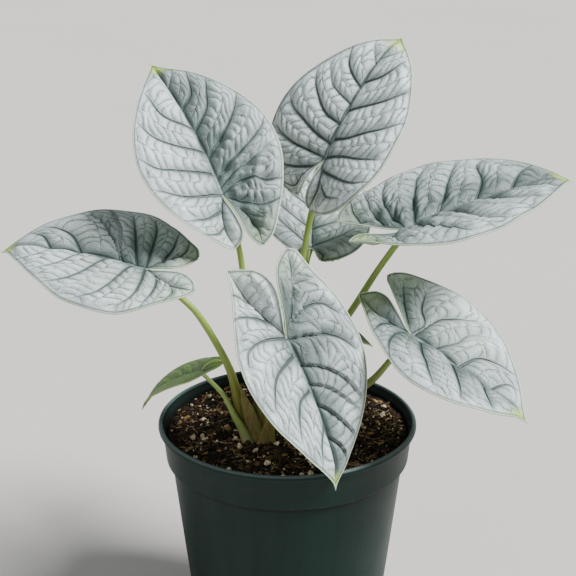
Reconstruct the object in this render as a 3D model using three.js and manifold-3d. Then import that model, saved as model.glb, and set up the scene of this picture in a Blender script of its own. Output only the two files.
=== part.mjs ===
// A potted alocasia with silver, heart-shaped leaves, in millimetres, +Z up.
// The origin is the centre of the pot's base. The plant's best side faces -Y.
import * as THREE from "three";
import { mergeVertices } from "three/addons/utils/BufferGeometryUtils.js";
import Module from "manifold-3d";

const wasm = await Module();
wasm.setup();

const SEAT_GAP = 0.3;

// The pot: a 6 inch nursery pot, 152 mm over its rim.
const POT_HEIGHT = 142;
const RIM_RADIUS = 76;
const RIM_HEIGHT = 3;
const RIM_ROUND = 1;
const COLLAR_TOP_RADIUS = 73.5;
const COLLAR_FOOT_RADIUS = 71.7;
const COLLAR_FOOT_Z = 120;
const SHOULDER_RADIUS = 68.3;
const SHOULDER_Z = 116;
const BASE_RADIUS = 55;
const BASE_CHAMFER = 1.5;
const WALL = 1.8;
const POT_SIDES = 48;
const DRAIN_HOLES = 8;
const DRAIN_HOLE_RADIUS = 4.5;
const DRAIN_CIRCLE_RADIUS = 44;
const DRAIN_HOLE_SIDES = 14;

// The potting mix, almost level and a little lower at the wall.
const MIX_MIDDLE_Z = 136;
const MIX_EDGE_Z = 134;
const MIX_FLAT_RADIUS = 30;

// The crown: the buried stem that the leaf stalks stand on.
const CROWN = { x: -11.5, y: -12.5, top: 131, bottom: 98, radius: 14.5, tip_radius: 7 };
const CROWN_WIDEST_Z = 118;
const CROWN_ROUND = 2;
const CROWN_SIDES = 24;

// Leaf stalks are round tubes that widen towards a foot.
const FOOT_Z = 130;
const STALK_SIDES = 8;
const STALK_STEPS = 14;
const FOOT_FLARE = 2.2;

// Leaf blades are thin plates with two lobes behind the point where the stalk joins.
const BLADE_THICKNESS = 0.8;
const HALF_COLUMNS = 4;
const LOBE_ROWS = 4;
const FORE_ROWS = 8;
const MIDRIB_OVERLAP = 0.25;
const NARROWEST = 0.4;
const LOBE_ROOT = 1 / 6;
const LOBE_SWELL = 3.5;
const RIB_BOW = 4;
const LIP_ANGLE = 38;
const DRIP_TIP = 0.035;
const HOOK_START = 0.6;
const LOBE_BEND_LENGTH = 40;
const CURVE_STEPS = 40;

// Each leaf's own shape. Pairs are [left, right], seen from above with the tip away.
// at: where the stalk joins. heading, rise, roll: degrees. length: stalk to tip. lobes: stalk to lobe end.
// widths: half widths. rounds, tapers: how blunt the lobe and the tip are.
// splays: how far the lobe's end lies off the midline. bulges: how far the lobes lean over the sinus.
// folds: degrees that the halves rise from the midrib. bows: how fast they level out, radians per metre.
const LEAVES = [
  {
    name: "upper_left",
    at: [-35.5, -10, 280.5], heading: 126, rise: 41.5, roll: 15,
    length: 99.5, lobes: [32, 35], widths: [40, 39.5],
    rounds: [1, 0.9], tapers: [1.2, 1.05], splays: [7, 8], sinus: 1.45, bulges: [6, 6.5],
    folds: [16, 14], bows: [3.5, 2.5], droop: 5, hook: 3, sway: 3, lobe_lift: 6, twist: -2,
    stalk: {
      foot: [-14, -13.5], radii: [2.9, 1.7],
      route: [[-18, -14, 172], [-23, -11, 214], [-27, -7, 249]],
    },
  },
  {
    name: "upper_right",
    at: [21, 27.5, 291], heading: 27, rise: 57.5, roll: -22,
    length: 85.5, lobes: [26, 29.5], widths: [39.5, 44],
    rounds: [0.5, 0.5], tapers: [1, 0.75], splays: [10, 2.5], sinus: 1.4, bulges: [5.5, 3],
    folds: [10, 17], bows: [5.5, 3], droop: 7, hook: 16, sway: -2.5, lobe_lift: 32, twist: 24,
    stalk: {
      foot: [-18.5, -4.5], radii: [2.9, 1.7],
      route: [[-9, -2, 167], [2, 10, 206], [9, 19, 235], [14, 26, 260]],
    },
  },
  {
    name: "right",
    at: [66.5, 2.5, 257.5], heading: 14, rise: 12.5, roll: -6.5,
    length: 104, lobes: [34, 38], widths: [45, 47],
    rounds: [0.75, 0.95], tapers: [0.95, 0.9], splays: [20.5, 14], sinus: 1.05, bulges: [1, 4],
    folds: [18, 26], bows: [6, 10.5], droop: -4, hook: 11, sway: -4, lobe_lift: -33, twist: 5,
    stalk: {
      foot: [-5.5, -9], radii: [2.9, 1.9],
      route: [[2, -6, 157], [19, -3, 183], [37, 3, 208], [52, 6, 232]],
    },
  },
  {
    name: "back",
    at: [14, 50.5, 230.5], heading: 82, rise: 43, roll: -14,
    length: 91, lobes: [5, 7], widths: [33, 34],
    rounds: [0.6, 0.55], tapers: [1, 0.95], splays: [5, 7], sinus: 1.3, bulges: [2, 2],
    folds: [13, 9], bows: [5, 4.5], droop: 6, hook: 12, sway: -2, lobe_lift: 0, twist: 0,
    stalk: { foot: [-12, -5.5], radii: [2.9, 1.6], route: [[-5, 6, 164], [5, 22, 198], [9, 34, 216]] },
  },
  {
    name: "left",
    at: [-77, -29, 244.5], heading: 161, rise: 4, roll: 21.5,
    length: 92.5, lobes: [33.5, 24.5], widths: [38.5, 36.5],
    rounds: [0.95, 0.9], tapers: [1.2, 1.05], splays: [11.5, 15.5], sinus: 1.5, bulges: [7, 3.5],
    folds: [14, 12], bows: [10, 8], droop: 3, hook: 16, sway: 3.5, lobe_lift: -6.5, twist: 0,
    stalk: {
      foot: [-21.5, -12.5], radii: [2.9, 1.7],
      route: [[-25, -13, 142], [-28, -16, 158], [-33, -22, 183], [-46.5, -28, 213], [-57, -29, 226.5]],
    },
  },
  {
    name: "front",
    at: [-0.5, -55, 214.5], heading: -41, rise: -61, roll: -14.5,
    length: 88.5, lobes: [44.5, 44.5], widths: [33.5, 33],
    rounds: [1.15, 1.45], tapers: [1.25, 1.35], splays: [20, 17.5], sinus: 2, bulges: [8.5, 8],
    folds: [15, 16], bows: [4, 8], droop: 7, hook: 15, sway: -3, lobe_lift: 1.5, twist: -7.5,
    stalk: { foot: [-10.5, -21.5], radii: [2.9, 1.7], route: [[-10, -25, 164], [-6, -35, 193]] },
  },
  {
    name: "lower_right",
    at: [69, -23.5, 204.5], heading: -39, rise: -23.5, roll: 0,
    length: 83.5, lobes: [38, 35], widths: [42.5, 42.5],
    rounds: [0.8, 1.2], tapers: [1.1, 0.8], splays: [18.5, 9.5], sinus: 1.55, bulges: [5, 6.5],
    folds: [17, 19.5], bows: [3.5, 12], droop: -3, hook: 1.5, sway: -2, lobe_lift: -29, twist: -6,
    stalk: {
      foot: [-3.5, -16], radii: [2.9, 1.8],
      route: [[7, -17, 144], [25, -18, 158], [46, -19, 172], [58, -21, 187]],
    },
  },
  {
    name: "young_left",
    at: [-50, -9.3, 175.8], heading: 154, rise: -29.5, roll: 11.5,
    length: 55, lobes: [20, 17], widths: [15.5, 14.5],
    rounds: [0.8, 0.7], tapers: [0.9, 0.95], splays: [4, 5], sinus: 1.1, bulges: [0.5, 0],
    folds: [11, 6], bows: [7, 7.5], droop: 11, hook: 18, sway: 6, lobe_lift: -3.5, twist: -7.5,
    stalk: {
      foot: [-21, -21], radii: [2.9, 1.1],
      route: [[-25, -20.5, 142], [-31, -19, 153], [-37, -16, 164]],
    },
  },
  {
    name: "young_back",
    at: [8, -25, 214], heading: 16, rise: -22, roll: -8,
    length: 48, lobes: [11, 11], widths: [13, 13],
    rounds: [0.75, 0.75], tapers: [0.95, 0.95], splays: [8, 8], sinus: 1.1, bulges: [1, 1],
    folds: [12, 12], bows: [7, 7], droop: 6, hook: 8, sway: 0, lobe_lift: 0, twist: 0,
    stalk: { foot: [1, -11], radii: [2, 1.1], route: [[1.5, -12, 150], [4, -17, 179]] },
  },
];

// Papery scales round the crown. route: the middle line, foot first. facing: the way its back looks.
const SCALE_THICKNESS = 0.7;
const SCALE_BULGE = 1;
const SCALE_COLUMNS = 4;
const SCALE_ROWS = 8;
const SCALES = [
  {
    name: "cataphyll_front", half_width: 3.2, facing: [-0.3, -0.95, 0],
    route: [[-17, -17.2, 132.1], [-20, -16.3, 145], [-25.5, -15.5, 162]],
  },
  {
    name: "cataphyll_back", half_width: 3.4, facing: [-0.9, 0.45, 0],
    route: [[-23.4, -7, 131.9], [-26, -4.5, 140], [-31, -3, 152]],
  },
];

const COLOURS = {
  pot: { color: 0x263733, roughness: 0.5, metalness: 0 },
  mix: { color: 0x2c1f16, roughness: 0.95, metalness: 0 },
  silver: { color: 0xc3cfc9, roughness: 0.55, metalness: 0 },
  young: { color: 0x7f9a62, roughness: 0.5, metalness: 0 },
  stalk: { color: 0x7d963f, roughness: 0.5, metalness: 0 },
  scale: { color: 0x6a5522, roughness: 0.7, metalness: 0 },
};

const radians = THREE.MathUtils.degToRad;

// Solids

function toSolid(geometry) {
  const shape = geometry.clone();
  shape.deleteAttribute("normal");
  shape.deleteAttribute("uv");
  const merged = mergeVertices(shape, 1e-3);
  const position = merged.attributes.position.array;
  const triVerts = [];
  const index = merged.index.array;
  for (let i = 0; i < index.length; i += 3) {
    const [a, b, c] = [index[i], index[i + 1], index[i + 2]];
    if (a !== b && b !== c && c !== a) triVerts.push(a, b, c);
  }
  return new wasm.Manifold(
    new wasm.Mesh({ numProp: 3, vertProperties: position, triVerts: new Uint32Array(triVerts) }),
  );
}

function toGeometry(solid) {
  const mesh = solid.getMesh();
  const geometry = new THREE.BufferGeometry();
  geometry.setAttribute("position", new THREE.BufferAttribute(mesh.vertProperties, 3));
  geometry.setIndex(new THREE.BufferAttribute(mesh.triVerts, 1));
  geometry.computeVertexNormals();
  return geometry;
}

function turned(profile, sides) {
  const points = profile.map(([radius, z]) => new THREE.Vector2(radius, z));
  return new THREE.LatheGeometry(points, sides).rotateX(Math.PI / 2);
}

function moveVertices(geometry, place) {
  const position = geometry.attributes.position;
  for (let i = 0; i < position.count; i++) {
    const moved = place(position.getX(i), position.getY(i), position.getZ(i));
    position.setXYZ(i, moved.x, moved.y, moved.z);
  }
  return geometry;
}

// Pot and potting mix

// The inside radius of the pot below its shoulder, and inside its collar.
function wallRadius(z) {
  return THREE.MathUtils.mapLinear(z, 0, SHOULDER_Z, BASE_RADIUS, SHOULDER_RADIUS) - WALL;
}

function collarRadius(z) {
  const [foot, top] = [COLLAR_FOOT_Z + WALL, POT_HEIGHT - RIM_ROUND];
  return THREE.MathUtils.mapLinear(z, foot, top, COLLAR_FOOT_RADIUS, COLLAR_TOP_RADIUS) - WALL;
}

function potSolid() {
  const rimFoot = POT_HEIGHT - RIM_HEIGHT;
  const rimTop = POT_HEIGHT - RIM_ROUND;
  const profile = [
    [0, 0],
    [BASE_RADIUS - BASE_CHAMFER, 0],
    [BASE_RADIUS, BASE_CHAMFER],
    [SHOULDER_RADIUS, SHOULDER_Z],
    [COLLAR_FOOT_RADIUS, COLLAR_FOOT_Z],
    [COLLAR_TOP_RADIUS, rimFoot - RIM_ROUND],
    [RIM_RADIUS, rimFoot],
    [RIM_RADIUS, rimTop],
    [RIM_RADIUS - RIM_ROUND, POT_HEIGHT],
    [collarRadius(rimTop) + RIM_ROUND / 2, POT_HEIGHT],
    [collarRadius(rimTop), rimTop],
    [collarRadius(COLLAR_FOOT_Z + WALL), COLLAR_FOOT_Z + WALL],
    [wallRadius(SHOULDER_Z), SHOULDER_Z],
    [wallRadius(WALL), WALL],
    [0, WALL],
  ];
  let pot = toSolid(turned(profile, POT_SIDES));
  for (let i = 0; i < DRAIN_HOLES; i++) {
    const angle = (2 * Math.PI * (i + 0.5)) / DRAIN_HOLES;
    const radius = DRAIN_HOLE_RADIUS;
    const hole = new THREE.CylinderGeometry(radius, radius, 4 * WALL, DRAIN_HOLE_SIDES)
      .rotateX(Math.PI / 2)
      .translate(DRAIN_CIRCLE_RADIUS * Math.cos(angle), DRAIN_CIRCLE_RADIUS * Math.sin(angle), 0);
    pot = pot.subtract(toSolid(hole));
  }
  return pot;
}

function mixSolid(buried) {
  const floor = WALL + SEAT_GAP;
  const collarFoot = COLLAR_FOOT_Z + WALL + SEAT_GAP;
  const profile = [
    [0, floor],
    [wallRadius(floor) - SEAT_GAP, floor],
    [wallRadius(SHOULDER_Z) - SEAT_GAP, SHOULDER_Z],
    [collarRadius(collarFoot) - SEAT_GAP, collarFoot],
    [collarRadius(MIX_EDGE_Z) - SEAT_GAP, MIX_EDGE_Z],
    [MIX_FLAT_RADIUS, MIX_MIDDLE_Z],
    [0, MIX_MIDDLE_Z],
  ];
  return buried.reduce((mix, piece) => mix.subtract(piece), toSolid(turned(profile, POT_SIDES)));
}

// The crown, or with a margin the pocket that it fills

function crownSolid(margin) {
  const { x, y, top, bottom, radius, tip_radius } = CROWN;
  const profile = [
    [0, bottom - margin],
    [tip_radius + margin, bottom - margin],
    [radius + margin, CROWN_WIDEST_Z],
    [radius + margin, top - CROWN_ROUND],
    [radius - CROWN_ROUND / 2 + margin, top + margin],
    [0, top + margin],
  ];
  return toSolid(turned(profile, CROWN_SIDES).translate(x, y, 0));
}

// Leaf blades

function leafAxes({ heading, rise, roll }) {
  const [h, r, q] = [heading, rise, roll].map(radians);
  const fore = new THREE.Vector3(Math.cos(r) * Math.cos(h), Math.cos(r) * Math.sin(h), Math.sin(r));
  const levelRight = new THREE.Vector3(Math.sin(h), -Math.cos(h), 0);
  const levelUp = levelRight.clone().cross(fore);
  const right = levelRight.clone().multiplyScalar(Math.cos(q)).addScaledVector(levelUp, Math.sin(q));
  const up = levelUp.clone().multiplyScalar(Math.cos(q)).addScaledVector(levelRight, -Math.sin(q));
  return { right, fore, up };
}

function outerEdge(leaf, half, fore) {
  const lobe = leaf.lobes[half];
  const s = THREE.MathUtils.clamp((fore + lobe) / (leaf.length + lobe), 0, 1);
  const a = leaf.rounds[half];
  const b = leaf.tapers[half];
  const widest = a / (a + b);
  const swell = (s ** a * (1 - s) ** b) / (widest ** a * (1 - widest) ** b);
  const tip = 1 - Math.exp(-(1 - s) / DRIP_TIP);
  return leaf.splays[half] * (1 - s) ** 2 + leaf.widths[half] * swell * tip;
}

function innerEdge(leaf, half, fore) {
  if (fore >= 0) return -MIDRIB_OVERLAP;
  const q = Math.min(-fore / leaf.lobes[half], 1);
  const sinus = leaf.splays[half] * q ** leaf.sinus;
  const bulge = leaf.bulges[half] * LOBE_SWELL * q * q * Math.sqrt(1 - q);
  return Math.max(sinus - bulge, NARROWEST * Math.min(1, q / LOBE_ROOT));
}

function ribLine(leaf, half, fore) {
  const q = THREE.MathUtils.clamp(-fore / leaf.lobes[half], 0, 1);
  return leaf.splays[half] * q + RIB_BOW * Math.sin(Math.PI * q);
}

function midribAngle(leaf, fore) {
  if (fore < 0) return radians(leaf.lobe_lift) * (-fore / LOBE_BEND_LENGTH);
  const t = fore / leaf.length;
  const late = THREE.MathUtils.smoothstep(t, HOOK_START, 1);
  return -radians(leaf.droop) * t - radians(leaf.hook) * late;
}

function midribPoint(leaf, fore) {
  const step = fore / CURVE_STEPS;
  const point = { along: 0, up: 0, angle: midribAngle(leaf, fore) };
  for (let i = 0; i < CURVE_STEPS; i++) {
    const angle = midribAngle(leaf, (i + 0.5) * step);
    point.along += Math.cos(angle) * step;
    point.up += Math.sin(angle) * step;
  }
  return point;
}

// across: distance from the midline on this half. depth: distance below the upper face.
function bladePoint(leaf, half, across, fore, depth) {
  const side = half === 0 ? -1 : 1;
  const fold = radians(leaf.folds[half]);
  const bow = leaf.bows[half] / 1000;
  const lip = radians(LIP_ANGLE);
  const rib = ribLine(leaf, half, fore);
  const outside = Math.max(across - rib, 0);
  const inside = Math.max(rib - across, 0);
  const sideways = rib + (Math.sin(fold) - Math.sin(fold - bow * outside)) / bow - inside * Math.cos(lip);
  const height = (Math.cos(fold - bow * outside) - Math.cos(fold)) / bow + inside * Math.sin(lip) - depth;

  const t = THREE.MathUtils.clamp(fore / leaf.length, 0, 1);
  const x = side * sideways + leaf.sway * 4 * t * (1 - t);
  const twist = (radians(leaf.twist) * fore) / leaf.length;
  const right = x * Math.cos(twist) + height * Math.sin(twist);
  const lift = height * Math.cos(twist) - x * Math.sin(twist);

  const middle = midribPoint(leaf, fore);
  const axes = leafAxes(leaf);
  return new THREE.Vector3(...leaf.at)
    .addScaledVector(axes.right, right)
    .addScaledVector(axes.fore, middle.along - lift * Math.sin(middle.angle))
    .addScaledVector(axes.up, middle.up + lift * Math.cos(middle.angle));
}

// Rows lie closer together at the lobe's end and at the tip.
function rowPosition(leaf, half, row) {
  if (row < LOBE_ROWS) return -leaf.lobes[half] * Math.cos((Math.PI / 2) * (row / LOBE_ROWS));
  return leaf.length * Math.sin((Math.PI / 2) * ((row - LOBE_ROWS) / FORE_ROWS));
}

function halfBlade(leaf, half) {
  const rows = LOBE_ROWS + FORE_ROWS;
  const grid = new THREE.BoxGeometry(1, 1, 1, HALF_COLUMNS, rows, 1);
  const side = half === 0 ? -1 : 1;
  moveVertices(grid, (x, y, z) => {
    const fore = rowPosition(leaf, half, Math.round((y + 0.5) * rows));
    const inner = innerEdge(leaf, half, fore);
    const outer = Math.max(outerEdge(leaf, half, fore), inner + NARROWEST);
    const across = THREE.MathUtils.lerp(inner, outer, 0.5 + side * x);
    return bladePoint(leaf, half, across, fore, (0.5 - z) * BLADE_THICKNESS);
  });
  return toSolid(grid);
}

function bladeSolid(leaf) {
  return halfBlade(leaf, 0).add(halfBlade(leaf, 1));
}

// Leaf stalks

function stalkCurve(leaf) {
  const { foot, route, radii } = leaf.stalk;
  const join = new THREE.Vector3(...leaf.at);
  const up = leafAxes(leaf).up;
  const arrival = join.clone().sub(new THREE.Vector3(...route.at(-1))).normalize();
  const reach = radii[1] * Math.sqrt(Math.max(1 - arrival.dot(up) ** 2, 0));
  const end = join.addScaledVector(up, -(BLADE_THICKNESS + SEAT_GAP + reach));
  const points = [[...foot, FOOT_Z], ...route].map((point) => new THREE.Vector3(...point));
  return new THREE.CatmullRomCurve3([...points, end], false, "centripetal");
}

function stalkSolid(leaf, margin) {
  const curve = stalkCurve(leaf);
  const frames = curve.computeFrenetFrames(STALK_STEPS);
  const [wide, slim] = leaf.stalk.radii;
  const tube = new THREE.CylinderGeometry(1, 1, 1, STALK_SIDES, STALK_STEPS).rotateY(Math.PI);
  moveVertices(tube, (x, y, z) => {
    const step = Math.round((y + 0.5) * STALK_STEPS);
    const t = step / STALK_STEPS;
    const radius = slim + (wide - slim) * (1 - t) ** FOOT_FLARE + margin;
    const end = step === 0 ? -margin : 0;
    return curve
      .getPointAt(t)
      .addScaledVector(frames.tangents[step], end)
      .addScaledVector(frames.normals[step], radius * x)
      .addScaledVector(frames.binormals[step], -radius * z);
  });
  return toSolid(tube);
}

// Papery scales

function scaleSolid({ half_width, facing, route }, margin) {
  const curve = new THREE.CatmullRomCurve3(route.map((point) => new THREE.Vector3(...point)));
  const back = new THREE.Vector3(...facing).normalize();
  const grid = new THREE.BoxGeometry(1, 1, 1, SCALE_COLUMNS, SCALE_ROWS, 1);
  moveVertices(grid, (x, y, z) => {
    const t = y + 0.5;
    const tangent = curve.getTangent(t);
    const outward = back.clone().addScaledVector(tangent, -back.dot(tangent)).normalize();
    const sideways = tangent.clone().cross(outward);
    const width = Math.max(half_width * (1 - t ** 2), NARROWEST / 2) + margin;
    const bulge = SCALE_BULGE * (1 - (2 * x) ** 2) * (1 - t);
    return curve
      .getPoint(t)
      .addScaledVector(sideways, 2 * x * width)
      .addScaledVector(outward, bulge + z * (SCALE_THICKNESS + 2 * margin))
      .addScaledVector(tangent, t === 0 ? -margin : 0);
  });
  return toSolid(grid);
}

// The plant in its pot

const root = new THREE.Group();

function addPiece(name, solid, finish) {
  const mesh = new THREE.Mesh(toGeometry(solid), new THREE.MeshStandardMaterial(COLOURS[finish]));
  mesh.name = name;
  root.add(mesh);
}

const stalkPockets = LEAVES.map((leaf) => stalkSolid(leaf, SEAT_GAP));
const crown = stalkPockets.reduce((solid, pocket) => solid.subtract(pocket), crownSolid(0));
const pockets = [crownSolid(SEAT_GAP), ...stalkPockets];

addPiece("pot", potSolid(), "pot");
addPiece("crown", crown, "scale");
for (const leaf of LEAVES) {
  const finish = leaf.name.startsWith("young") ? "young" : "silver";
  addPiece("blade_" + leaf.name, bladeSolid(leaf), finish);
  addPiece("petiole_" + leaf.name, stalkSolid(leaf, 0), "stalk");
}
for (const scale of SCALES) {
  addPiece(scale.name, scaleSolid(scale, 0), "scale");
  pockets.push(scaleSolid(scale, SEAT_GAP));
}
addPiece("potting_mix", mixSolid(pockets), "mix");

export default root;
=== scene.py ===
# A potted alocasia with silver leaves, finished over its plain solids.
# Blender works in metres, +Z up. Values here are in millimetres, but for the camera's and the lights'.
import math
import random
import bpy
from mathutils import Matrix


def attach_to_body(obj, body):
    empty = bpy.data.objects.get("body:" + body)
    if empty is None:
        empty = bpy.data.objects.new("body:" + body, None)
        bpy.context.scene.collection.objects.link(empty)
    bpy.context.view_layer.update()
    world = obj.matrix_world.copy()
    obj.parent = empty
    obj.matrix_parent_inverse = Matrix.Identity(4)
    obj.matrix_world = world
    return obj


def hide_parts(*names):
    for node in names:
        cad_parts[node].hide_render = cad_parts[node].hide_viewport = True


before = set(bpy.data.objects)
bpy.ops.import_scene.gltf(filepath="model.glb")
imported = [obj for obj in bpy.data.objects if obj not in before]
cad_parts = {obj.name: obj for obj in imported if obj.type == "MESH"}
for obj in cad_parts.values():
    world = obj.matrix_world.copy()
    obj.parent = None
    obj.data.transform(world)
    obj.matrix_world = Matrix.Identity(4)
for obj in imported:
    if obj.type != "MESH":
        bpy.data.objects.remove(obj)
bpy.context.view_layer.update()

from types import SimpleNamespace

import bmesh
import bpy
import numpy as np
from mathutils import Euler, Matrix, Vector, noise

MM = 0.001
LEFT, RIGHT = 0, 1

# Camera, at the photograph's viewing angle
CAMERA_PLACE = Vector((0.0004, -0.7304, 0.4849))
CAMERA_TARGET = Vector((0.0004, 0.0, 0.2230))
CAMERA_LENS = 85
SENSOR_WIDTH = 36

# The pot, by the CAD's values, but with a bevel inside the rim and a thicker base
POT_HEIGHT = 142
RIM_RADIUS = 76
RIM_HEIGHT = 3
RIM_ROUND = 1
RIM_LIP_RADIUS = 73.4
COLLAR_TOP_RADIUS = 73.5
COLLAR_FOOT_RADIUS = 71.7
COLLAR_FOOT_Z = 120
SHOULDER_RADIUS = 68.3
SHOULDER_Z = 116
MIDDLE_Z = 60
BASE_RADIUS = 55
WALL = 1.8
POT_STEPS = 160
POT_BEVEL = 0.55
DRAIN_HOLES = 8
DRAIN_HOLE_RADIUS = 4.5
DRAIN_CIRCLE_RADIUS = 44

# The potting mix
POT_FLOOR_Z = 3.0
MIX_RADIUS = 70.6
MIX_MIDDLE_Z = 137.0
MIX_EDGE_Z = 135.0
MIX_RINGS = 40
MIX_STEPS = 144
MIX_BUMPS = 2.2
MIX_SEAT = 0.3

# Loose materials on the mix: how many chunks, their sizes from the middle out, and how far out they lie
CRUMBS, CHIPS, FIBRES, LARGE_GRAINS, SMALL_GRAINS = 2700, 420, 620, 46, 284
CRUMB_SIZES = (0.6, 0.75, 0.9, 1.1, 1.4, 1.9)
CHIP_SIZES = (0.6, 0.8, 1.0, 1.3, 1.7, 2.4)
FIBRE_SIZES = (1.2, 3.8)
FIBRE_RADIUS = 0.18
LARGE_GRAIN_SIZES = (1.1, 2.0)
SMALL_GRAIN_SIZES = (0.3, 0.8)
CHUNK_REACH = MIX_RADIUS - 1.5
FIBRE_REACH = MIX_RADIUS - 4

# Blades: two halves of a fine grid each, joined along the midrib. A grid is columns, lobe rows, fore rows.
BLADE_GRID = (70, 58, 128)
YOUNG_GRID = (36, 26, 80)
NARROWEST = 0.4
LOBE_ROOT = 1 / 6
LOBE_SWELL = 3.5
LEAN = 1.7
RIB_BOW = 4
LOBE_PUFF = 5.95
LIP_ANGLE = 38
DRIP_TIP = 0.035
HOOK_START = 0.6
LOBE_BEND_LENGTH = 40
BLADE_DEEPEST = 2.6
BLADE_THICKNESS = 0.8
MARGIN_THICKNESS = 0.35

# Veins and the relief that they press into a blade
VEIN_REACH = 2.2
RUNG_SPACING = 5.8
RUNG_ARC = 3.2
CELL_SIZE = 6.4
SMALL_CELL_SIZE = 3.0
CROWN_SHARE = 0.155
CROWN_HEIGHT = 2.6
RUNG_HEIGHT = 0.92
VEIN_GROOVE = 0.5
MIDRIB_GROOVE = 1.3
MIDRIB_RIDGE = 0.6
YOUNG_RELIEF = 0.5

# Stalks
STALK_FOOT_Z = 130
STALK_SIDES = 24
STALK_RINGS = 84
STALK_JOIN_DEPTH = 1.9
FOOT_RADIUS = 2.9
FOOT_FLARE = 2.2
FOOT_SWELL = 1.9
FOOT_SWELL_REACH = 20
YOUNG_SWELL_REACH = 11
PALE_SHEATH_Z = (136, 148)

# Light: name, kind, place, size (radians for the sun, metres for the area) and power
LIGHTS = (
    ("key_light", "SUN", (1.05, -0.35, 1.5), 0.38, 9.4),
    ("fill_light", "AREA", (-1.5, -1.4, 1.2), 1.6, 9.0),
)
LIGHT_AIM = Vector((0, 0, 0.2))
SKY_COLOUR = (0.92, 0.96, 1.0, 1)
SKY_STRENGTH = 0.42
FLOOR_REACH = 25

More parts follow.
